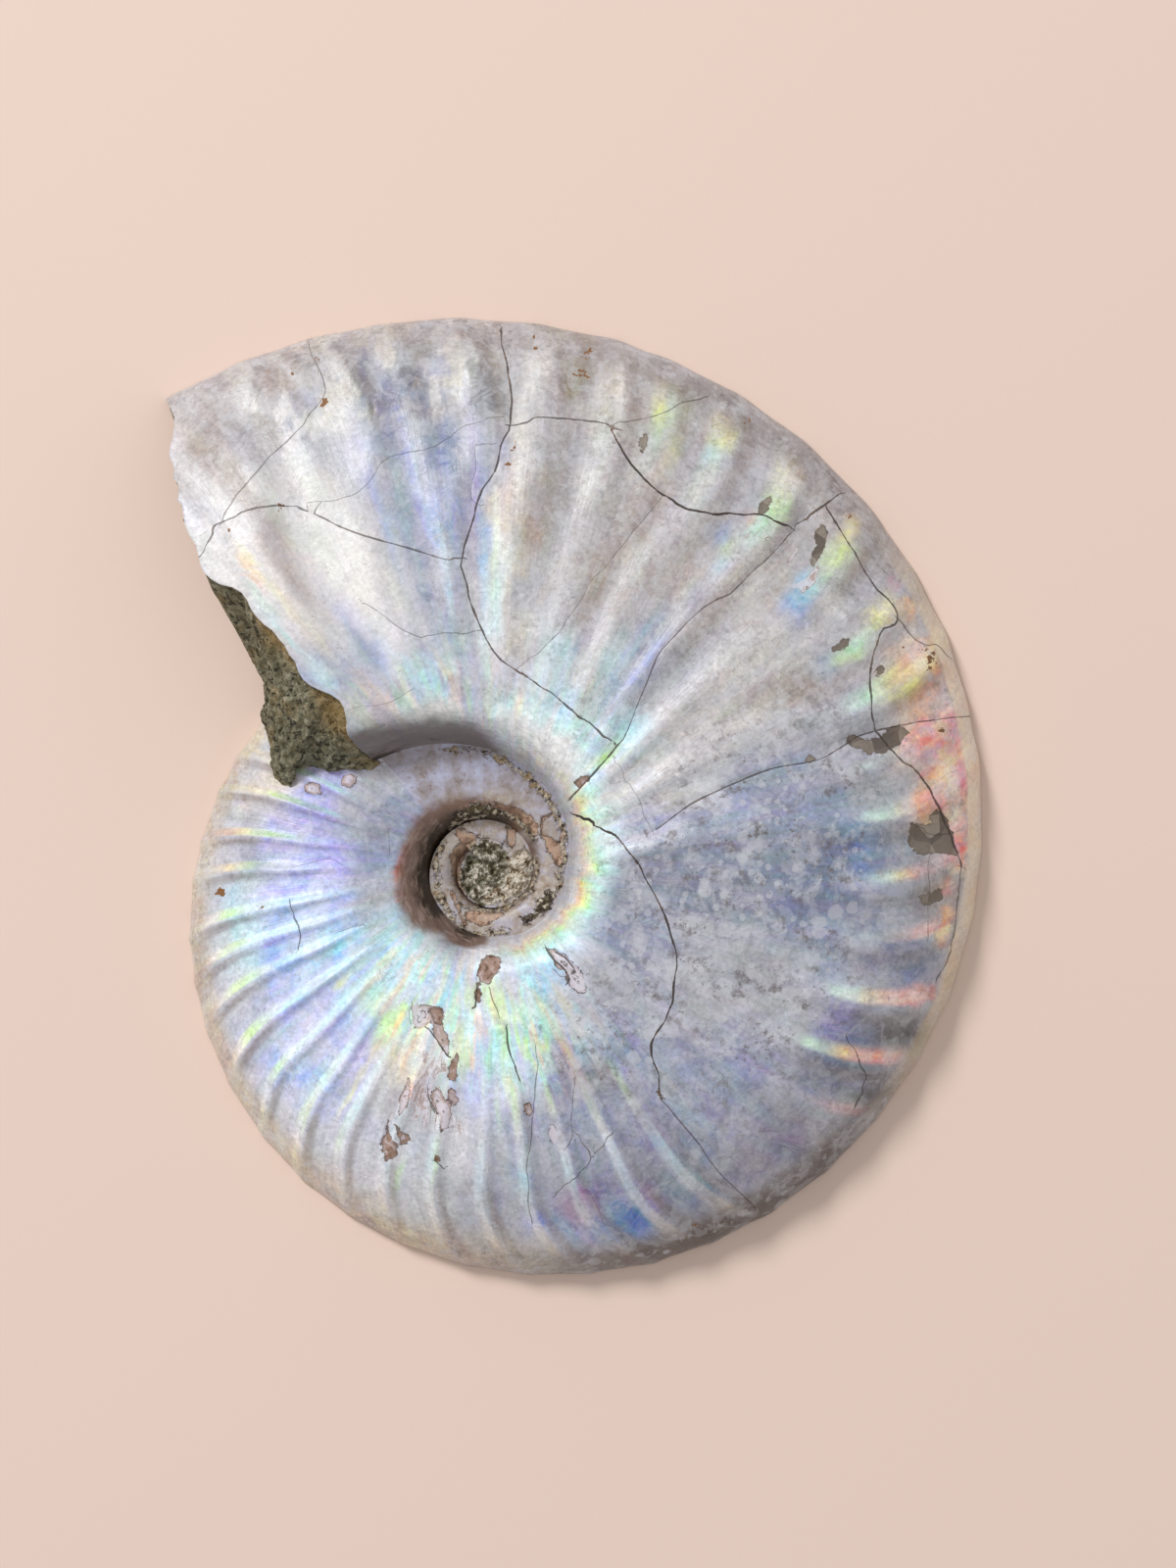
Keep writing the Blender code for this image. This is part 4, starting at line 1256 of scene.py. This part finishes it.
# The umbilicus is partly ruined. Outlines of its parts, as x and y in mm from the pole
ruins = {
    "brown": [
        [(.55, 5.56), (2.47, 5.05), (3.78, 4.35), (4.38, 3.44), (4.28, 2.63), (3.88, 2.53),
         (3.27, 3.44), (2.47, 4.2), (1.66, 4.55), (.85, 4.95)],
        [(-1.77, -3.62), (-.76, -3.42), (.85, -3.62), (1.56, -3.92), (.55, -4.43), (-.26, -4.93),
         (-1.27, -4.63), (-1.87, -4.23)],
        [(-3.18, -1.81), (-2.78, -2.11), (-2.17, -3.42), (-1.73, -4.73), (-1.97, -4.87),
         (-2.68, -3.42)],
        [(-3.08, .82), (-2.78, 1.72), (-1.87, 2.43), (-.76, 2.53), (-1.67, 1.22), (-2.13, 0),
         (-2.21, -1.4), (-1.87, -2.41), (-2.41, -1.81), (-2.94, -.6)],
        [(4.38, 3.54), (4.58, 2.53), (5.09, 1.42), (5.69, .61), (6.2, -.19), (6.66, .61),
         (6.6, 2.83), (6.26, 4.2), (5.49, 4.65), (4.68, 4.2)],
        [(-2.78, 3.44), (-1.87, 3.24), (-.86, 2.73), (-.76, 2.03), (-1.77, 1.82), (-2.58, 2.53)],
        [(1.66, 3.44), (2.47, 3.24), (2.36, 2.03), (1.76, 1.72), (1.56, 2.63)],
    ],
    "shard": [
        [(4.64, 3.88), (5.49, 4.41), (6.14, 4), (6.3, 2.93), (6.06, 2.07), (5.39, 2.53),
         (4.72, 2.83)],
        [(-3.79, -3.02), (-3.08, -2.61), (-2.37, -3.62), (-1.97, -4.87), (-2.78, -4.43),
         (-3.48, -3.72)],
    ],
    "crust": [
        [(-2.78, 4.04), (-2.27, 4.85), (-1.06, 5.45), (.25, 5.29), (1.15, 4.75), (.95, 4.2),
         (-.36, 4.45), (-1.57, 4.28), (-2.41, 3.6)],
        [(5.09, -1.81), (5.73, -2.05), (5.29, -3.42), (4.08, -4.43), (3.11, -4.67), (3.03, -4.27),
         (4.08, -3.62), (4.08, -2.71), (4.72, -2.31)],
    ],
    "core": [
        [(-2.07, -1), (-1.87, .61), (-.96, 1.82), (.05, 2.27), (1.26, 1.82), (1.86, 1.02),
         (3.07, 1.66), (3.78, .82), (3.84, -.6), (3.37, -1.81), (2.16, -2.45), (.95, -3.06),
         (-.56, -3.22), (-1.67, -2.31)],
    ],
    "crystal": [
        [(1.7, 1.42), (3.27, 1.66), (3.72, .82), (3.8, -.6), (3.31, -1.77), (2.16, -2.37),
         (1.26, -3.06), (.05, -3.26), (-.36, -2.61), (.49, -1.97), (1.3, -1.4), (1.7, -.19)],
    ],
}

# Crumbs of cream and golden mineral along broken edges: half width in mm, then x and y in mm
crumbLines = [
    (.16, [(-2.37, 3.64), (-1.87, 4.14), (-.36, 4.35), (1.26, 4.65), (2.47, 4.04), (3.47, 3.03),
        (3.98, 2.43)]),
    (.18, [(-4.09, .61), (-3.89, 1.82), (-3.38, 3.03), (-2.58, 3.84)]),
    (.14, [(-2.1, -3.3), (-.8, -3.5), (.9, -3.6), (2.3, -2.9), (3.6, -2), (4.1, -.6), (4, .9)]),
    (.12, [(-2.2, -1.6), (-2.1, .4), (-1.2, 1.9), (-.4, 2.5)]),
    (.16, [(-3.79, -2.41), (-2.98, -4.23), (-1.97, -5.33), (-.76, -5.74), (.45, -5.44),
        (1.66, -5.4)]),
    (.22, [(.65, 9.49), (1.66, 8.68), (2.87, 8.08), (4.08, 7.17), (5.09, 5.86), (5.79, 4.75),
        (6.3, 3.44)]),
    (.2, [(6.5, 2.83), (6.3, 1.82), (6.6, .82), (6.2, -.19)]),
    (.12, [(6.1, -.6), (5.99, -1.81), (5.59, -2.41)]),
    (.2, [(-4.19, .41), (-4.23, -1), (-3.99, -2.21), (-3.5, -3.4)]),
    (.1, [(.65, 9.49), (-1.5, 9.9), (-3.4, 10)]),
]


def inMetres(shapes):
    return [(value, np.array(places) * mm) for value, places in shapes]


def ruinMarks(points):
    marks = {kind: outlineDistance(points, inMetres((0, loop) for loop in loops))[0]
             for kind, loops in ruins.items()}
    marks["deep"] = 1 - smooth(5.6 * mm, 7.6 * mm, np.hypot(points[..., 0], points[..., 1]))
    marks["crumb"] = lineDistance(points, inMetres(crumbLines))
    return marks


def ruinLift(points, marks):  # height of crumbs, broken plates and crushed core
    x, y = points[..., 0] / mm, points[..., 1] / mm
    grit = layeredNoise(x * 2.6, y * 2.6, 81, 4)
    ragged = 0.14 * layeredNoise(x * 1.7 + 40, y * 1.7, 85, 4)

    def inside(kind, soft):
        return smooth(soft, -soft, marks[kind] + ragged)

    crumbs = np.minimum(inside("crumb", 0.12) + inside("crust", 0.10), 1)
    lift = 0.02 * grit + crumbs * (0.12 + 0.16 * grit) + inside("core", 0.15) * 0.30 * grit
    return mm * (lift - 0.14 * inside("brown", 0.05) * (1 - inside("shard", 0.05)))


def makeInnerWhorls(material):
    t = np.linspace(0, 1, innerWhorl["rows"])[None, :]
    last = coil["mouthAngle"] - 360
    first = last - 360 * innerWhorl["turns"]
    angle = np.radians(np.linspace(first, last + 2, innerWhorl["columns"]))[:, None]
    filled = 1 - smooth(*innerWhorl["filledTo"], np.degrees(angle))
    split = nextSeam(angle) + innerWhorl["underNext"] + innerWhorl["widening"] * filled
    share = split * np.where(t < 0.3, 0.16 * (t / 0.3) ** 1.2, 0.16 + 0.84 * (t - 0.3) / 0.7)
    angle = angle + 0 * share
    rough = shellPoint(angle, share)
    points = shellPoint(angle, share, ruinLift(rough, ruinMarks(rough)))
    points[..., 2] += innerWhorl["filling"] * filled
    points[:, 0, 2] -= innerWhorl["sunkFoot"]
    marks = ruinMarks(points) | coilMarks(angle, share)
    return meshPiece("innerWhorls", points, gridFaces(*angle.shape), material, marks)


def makeCore(material):
    rings, steps = innerWhorl["coreRings"], innerWhorl["coreSteps"]
    last = coil["mouthAngle"] - 360 * innerWhorl["turns"]
    angle = np.radians(np.linspace(last - 360, last, steps))
    rim = shellPoint(angle, np.full(steps, 0.06))
    t = np.linspace(0, 1, rings)[None, :]
    points = rim[:, None, :] * t[..., None]
    middle = innerWhorl["coreHeight"]
    points[..., 2] = innerWhorl["filling"] + middle + (rim[:, None, 2] - middle) * t ** 2
    points[..., 2] += ruinLift(points, ruinMarks(points)) * (1 - 0.5 * t ** 4)
    grid = 0 * angle[:, None] * t
    marks = {"growth": angle[:, None] + grid, "share": 0.05 * t + grid, "wallShadeAndDirt": grid}
    marks.update(ruinMarks(points))
    return meshPiece("core", points, gridFaces(steps, rings), material, marks)


rockLook = {
    "mid": (126, 122, 100),
    "dark": (88, 84, 62),
    "light": (166, 162, 140),
    "pit": (56, 51, 38),
    "ochre": (158, 126, 72),
    "white": (206, 200, 184),
    "columns": 360,
    "rows": 96,
    "gritDepth": 0.35 * mm,
    "pitDepth": 0.25 * mm,
}

# Edge of the rock on the start of the last whorl, from the seam out: angle, share
rockEdge = [
    (-229, .44), (-225.6, .454), (-221.2, .46), (-218, .5), (-216.1, .534), (-211.6, .592),
    (-210.8, .626), (-210.3, .68), (-207.9, .736), (-206.6, .754), (-201.7, .714), (-201.3, .749),
    (-202.3, .805), (-208.4, .883), (-211.5, .959), (-213.3, .987), (-216.5, .99), (-217, 1),
]

# Foot of the rock on the sawn face: radius in mm, angle
rockFoot = [
    (22, 142.4), (24.6, 139.8), (26.6, 138.2), (29.4, 136.1), (33, 133.8), (36.9, 131.1),
    (40.2, 128.9), (43.4, 126.6), (45.5, 125.2), (47, 124.2),
]

# Ochre parts of the rock: x and y in mm, half sizes, strength
rockRust = [
    (-11.6, 13.4, 2.6, 2.8, .9), (-17.5, 20.5, 2.2, 5, .5), (-9.5, 11, 2, 1.2, .5),
]


def resampled(path, count):
    lengths = np.concatenate([[0], np.cumsum(np.linalg.norm(np.diff(path, axis=0), axis=1))])
    where = np.linspace(0, lengths[-1], count)
    return np.stack([np.interp(where, lengths, path[:, k]) for k in range(3)], -1)


def onSawnFace(places):  # from radius in mm and angle
    radius, angle = np.transpose(places) * [[mm], [math.pi / 180]]
    return np.stack([radius * np.cos(angle), radius * np.sin(angle), 0 * angle], -1)


def makeRock(material):
    columns, rows = rockLook["columns"], rockLook["rows"]
    share = np.linspace(-0.01, 1, 400)
    top = shellPoint(mouthAngle(share) - math.radians(0.15), share)
    top[:, 2] = np.maximum(top[:, 2] - whorl["shellThickness"] * 0.8, 0)
    steps = np.linspace(0, len(rockEdge) - 1, 260)
    edgeAngle, edgeShare = (
        np.interp(steps, range(len(rockEdge)), row) for row in np.transpose(rockEdge))
    jag = 0.5 * layeredNoise(steps * 2.3, steps * 0, 101, 3) * smooth(0, 1, steps)
    low = shellPoint(np.radians(edgeAngle + jag), edgeShare)
    low[:, 2] = np.maximum(low[:, 2] - 0.2 * mm, 0)
    low = np.concatenate([low, onSawnFace(rockFoot), top[-1:]])
    top, low = resampled(top, columns)[:, None, :], resampled(low, columns)[:, None, :]
    across, along = np.linspace(0, 1, rows)[None, :], np.linspace(0, 1, columns)[:, None]
    points = top * (1 - across[..., None]) + low * across[..., None]
    x, y, z = np.moveaxis(points, -1, 0) / mm
    swell = smooth(0, 0.2, across) * (1 - smooth(0.86, 1, across) ** 2)
    swell = swell * window(along, 0, 0.05, 0.48, 0.62)
    grit = 0.30 * layeredNoise(x * 0.8 + z * 0.5, y * 0.8 - z * 0.7, 111, 4)
    grit = grit + 0.22 * layeredNoise(x * 2.5 + z * 1.5, y * 2.5 - z * 2.1, 117, 3)
    points = points + (mm * swell * (0.35 + grit))[..., None] * (-0.7, 0.1, 0.7)  # bulges out
    points[..., 2] = np.maximum(points[..., 2], 0)
    ochre = np.zeros(x.shape)
    for middle, height, wide, tall, strength in rockRust:
        away = ((x - middle) / wide) ** 2 + ((y - height) / tall) ** 2
        ochre = np.maximum(ochre, strength * np.exp(-away * 0.9))
    ochre = ochre + 0.25 * (1 - smooth(0.02, 0.16, across))
    return meshPiece("rock", points, gridFaces(columns, rows), material, {"ochre": ochre})


def rockColour():
    grains = noise(1250, 5, 0.72)
    blotches = noise(420, 3, 0.6)
    pits = noise(1700, 3, 0.6, 0.5)
    dark, mid, light, pit, ochre, white = (
        colour(*rockLook[name]) for name in ("dark", "mid", "light", "pit", "ochre", "white"))
    base = colourRamp(grains, (0.34, dark), (0.5, mid), (0.64, light))
    base = blend(fade(blotches, 0.50, 0.66, 0.0, 0.30), base, ochre)
    base = blend(fadeOut(pits, 0.36, 0.43, 0.85), base, pit)
    return blend(fade(pits, 0.66, 0.70, 0.0, 0.7), base, white), grains, pits


def makeRockMaterial():
    material, shader = newMaterial("gritty rock", rockLook, 0.85, 0.25)
    base, grains, pits = rockColour()
    ochre = mark("ochre") + centred(grains, 0.8)
    base = blend(fade(ochre, 0.25, 0.75, 0.0, 0.60), base, "ochre")
    coat(shader, base, (grains, rockLook["gritDepth"], 1.0),
         (fade(pits, 0.34, 0.46), rockLook["pitDepth"], 0.9))
    return material


innerLook = {
    "golden": (150, 126, 94),
    "cream": (214, 203, 184),
    "gap": (48, 38, 28),
    "brown": (122, 92, 74),
    "paleBrown": (192, 158, 134),
    "olive": (98, 90, 62),
    "green": (134, 134, 116),
    "crystal": (226, 218, 204),
    "beige": (164, 147, 130),
    "paleBeige": (188, 180, 172),
    "nacreDark": (138, 128, 128),
    "nacreGrey": (160, 154, 160),
    "nacreBlue": (176, 174, 192),
    "nacrePale": (188, 192, 216),
    # The nacre's wall colours: dirt together with painted shade
    "wallDirt": nacreLook["wallDirt"],
    "deepDirt": nacreLook["deepDirt"],
    "gritDepth": 0.30 * mm,
    "brokenDepth": 0.10 * mm,
    "cloudDepth": 0.12 * mm,
}


def makeInnerMaterial():
    # Nacre of the inner whorls, partly ruined to crumbs and brown mineral; distances are in mm
    material, shader = newMaterial("ruined nacre", innerLook, 0.42)
    cloud = noise(500, 5, 0.68)
    shards = noise(1500, 5, 0.75, 0.4)
    flecks = noise(2400, 3, 0.6)

    def inside(name, soft=0.06, rough=1.3):
        return fadeOut(mark(name) + centred(shards, rough), -soft, soft)

    streak = noise(1.0, 4, where=joined(mark("growth") * 12.0, mark("share") * 5.0))
    base = colourRamp(
        streak * 0.25 + cloud * 0.75, (0.36, "nacreDark"), (0.45, "nacreGrey"),
        (0.53, "nacreBlue"), (0.62, "nacrePale"))
    base = blend(fadeOut(flecks, 0.34, 0.42, 0.5), base, "brown")
    base = blend(fade(shards, 0.60, 0.68, 0.0, 0.5), base, "cream")
    beige = blend(fade(shards, 0.42, 0.60), "beige", "paleBeige")
    base = blend(mark("deep") * fade(cloud, 0.44, 0.58, 0.92, 0.45), base, beige)
    mineral = colourRamp(
        cloud * 0.5 + shards * 0.5, (0.38, "gap"), (0.44, "brown"), (0.52, "paleBrown"),
        (0.60, "beige"))
    brown = inside("brown") * (1.0 - inside("shard"))
    base = blend(brown * 0.92, base, mineral)
    base = blend(brown * (1.0 - brown) * 3.2, base, "gap")
    # Dirt and painted shade on the walls of the inner whorls
    wallShadeAndDirt = mark("wallShadeAndDirt") + centred(cloud, 0.5)
    base = blend(fade(wallShadeAndDirt, 0.05, 0.45, 0.0, 0.9), base, "wallDirt")
    base = blend(fade(wallShadeAndDirt, 0.45, 0.85, 0.0, 0.95), base, "deepDirt")
    crumbs = blend(fade(shards, 0.40, 0.50), "golden", "cream")
    crumbs = blend(fade(shards, 0.54, 0.60), crumbs, "crystal")
    crumbs = blend(fadeOut(flecks, 0.41, 0.48, 0.95), crumbs, "gap")
    crusty = blend(fade(shards, 0.44, 0.56), "gap", "olive")
    crusty = blend(fade(flecks, 0.52, 0.62), crusty, "cream")
    crushed = colourRamp(
        shards, (0.38, "gap"), (0.45, "olive"), (0.52, "green"), (0.59, "crystal"))
    clear = colourRamp(
        shards, (0.37, "gap"), (0.42, "golden"), (0.47, "cream"), (0.53, "crystal"))
    crushed = blend(inside("crystal", 0.10, 2.0), crushed, clear)
    crumb, crust = inside("crumb", 0.07, 2.8), inside("crust", 0.06, 2.4)
    core = inside("core", 0.06, 1.8)
    for amount, shade in ((crumb, crumbs), (crust, crusty), (core, crushed)):
        base = blend(amount, base, shade)
    gritty = calc("MAXIMUM", calc("MAXIMUM", crumb, crust), core)
    coat(shader, base, (shards * gritty, innerLook["gritDepth"], 0.9),
         (brown, -innerLook["brokenDepth"], 0.7), (cloud, innerLook["cloudDepth"], 0.5))
    return material


sawnLook = {
    "chestnut": (92, 58, 36),
    "amber": (158, 104, 58),
    "honey": (196, 158, 110),
    "calcite": (216, 200, 172),
    "ash": (140, 128, 112),
    "wall": (226, 214, 196),
    "septa": 21.0,                # degrees between the chamber walls
    "septumBow": -1.1 * 0.35,
    "septumThickness": (0.03, 0.055),
    "wallThickness": (0.018, 0.03),
    "bodyChamberFrom": math.radians(-40.0),
}


def makeSawnFace(material):
    start = math.radians(coil["mouthAngle"] - 360)
    angles = start + np.linspace(0, 1, whorl["columns"]) * (mouthAngle(np.ones(1)) - start)
    rim = shellPoint(angles, np.ones(len(angles)))[np.degrees(angles) > coil["rimFrom"]]
    foot = [row for row in reversed(rockFoot) if row[1] > np.degrees(angles[-1])]
    points = np.concatenate([rim, onSawnFace(foot), [[0, 0, 0]]])
    points[:, 2] = 0
    count = len(points) - 1
    faces = [(count, (i + 1) % count, i) for i in range(count)]
    return meshPiece("sawnFace", points, faces, material)


def makeSawnMaterial():
    # Chambers and their walls are found from the angle and radius by the coil's own formula
    material, shader = newMaterial("polished section", sawnLook, 0.18)
    x, y = shaderNode("SeparateXYZ", {0: place()}, 0, 1)
    angle = calc("ARCTAN2", y, x)
    radius = calc("SQRT", x * x + y * y)
    growth = calc("LOGARITHM", radius / coil["venterRadius"], math.e)
    lean = calc("COSINE", angle - math.radians(coil["venterLeanTowards"]))
    growth = growth - lean * coil["venterLean"]
    turns = (growth / coil["venterGrowth"] - angle) / turn
    whole = calc("CEIL", turns)
    inWhorl = turns - (whole - 1.0)   # 0 inner, 1 venter
    along = angle + whole * turn
    bow = inWhorl * (1.0 - inWhorl) * sawnLook["septumBow"]
    chamber = (along + bow) / math.radians(sawnLook["septa"])
    number = calc("FLOOR", chamber)
    inChamber = calc("FRACT", chamber)
    pick = shaderNode("TexWhiteNoise", {}, "Value", noise_dimensions="1D")
    plug(pick.socket.node.inputs["W"], number)
    crystal = noise(420, 5, 0.7)
    fill = colourRamp(
        pick * 0.65 + crystal * 0.35, (0.15, "chestnut"), (0.38, "amber"), (0.58, "honey"),
        (0.75, "calcite"), (0.9, "ash"))
    body, grains, pits = rockColour()
    start = sawnLook["bodyChamberFrom"]
    isBody = fade(along, start - 0.01, start + 0.01)

    def closeToEdge(value, thickness):  # near 0 or near 1
        return fadeOut(calc("MINIMUM", value, 1.0 - value), *thickness)

    septum = closeToEdge(inChamber, sawnLook["septumThickness"]) * (1.0 - isBody)
    walls = calc("MAXIMUM", septum, closeToEdge(inWhorl, sawnLook["wallThickness"]))
    coat(shader, blend(walls, blend(isBody, fill, body), "wall"))
    return material


nacre = makeNacre()
lastWhorl = makeLastWhorl(nacre)
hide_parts("ammonite")
print("last whorl made")
ruined = makeInnerMaterial()
makeInnerWhorls(ruined)
makeCore(ruined)
print("inner whorls made")
makeRock(makeRockMaterial())
makeSawnFace(makeSawnMaterial())
print("rock and sawn face made")

studio = {
    "floor": (240, 216, 202),
    "floorSize": 6.0,
    "floorDrop": 0.05 * mm,
    "keyPower": 8.4,
    "keyPlace": (-0.56, 0.66, 0.725),
    "keySize": 0.264,
    "fillStrength": 0.48,
    "cameraDistance": 0.90,
    "viewHeight": 0.132,
    "sensor": 24,
    "lookAt": (0.00128, 0.00103),
}


def makeFloor():
    mesh = bpy.data.meshes.new("floor")
    half, low = studio["floorSize"] / 2, -studio["floorDrop"]
    corners = [(-half, -half, low), (half, -half, low), (half, half, low), (-half, half, low)]
    mesh.from_pydata(corners, [], [(0, 1, 2, 3)])
    floor = bpy.data.objects.new("floor", mesh)
    bpy.context.collection.objects.link(floor)
    material, shader = newMaterial("plain floor", studio, 0.9, 0.1)
    plug(shader.inputs["Base Color"], "floor")
    mesh.materials.append(material)


def makeLight():
    light = bpy.data.lights.new("key", "AREA")
    light.energy = studio["keyPower"]
    light.shape = "DISK"
    light.size = studio["keySize"]
    lamp = bpy.data.objects.new("key", light)
    bpy.context.collection.objects.link(lamp)
    lamp.location = studio["keyPlace"]
    lamp.rotation_euler = (-lamp.location).to_track_quat("-Z", "Y").to_euler()
    world = bpy.data.worlds.new("studio")
    bpy.context.scene.world = world
    world.use_nodes = True
    bench.update(tree=world.node_tree, look=studio)
    background = world.node_tree.nodes["Background"]
    seen, glossy, through = shaderNode(
        "LightPath", {}, "Is Camera Ray", "Is Glossy Ray", "Is Transmission Ray")
    seen = calc("MAXIMUM", calc("MAXIMUM", seen, glossy), through)
    plug(background.inputs["Color"], blend(seen, (1, 1, 1, 1), "floor"))
    plug(background.inputs["Strength"], fade(seen, 0.0, 1.0, studio["fillStrength"], 1.0))


def makeCamera():  # straight above, looking down
    lens = bpy.data.cameras.new("camera")
    camera = bpy.data.objects.new("camera", lens)
    bpy.context.collection.objects.link(camera)
    camera.location = (*studio["lookAt"], studio["cameraDistance"])
    lens.sensor_fit = "VERTICAL"
    lens.sensor_height = studio["sensor"]
    lens.lens = studio["sensor"] * studio["cameraDistance"] / studio["viewHeight"]
    lens.clip_start = 0.01
    bpy.context.scene.camera = camera


makeFloor()
makeLight()
makeCamera()
bpy.context.scene.view_settings.view_transform = "Standard"
print("studio made")
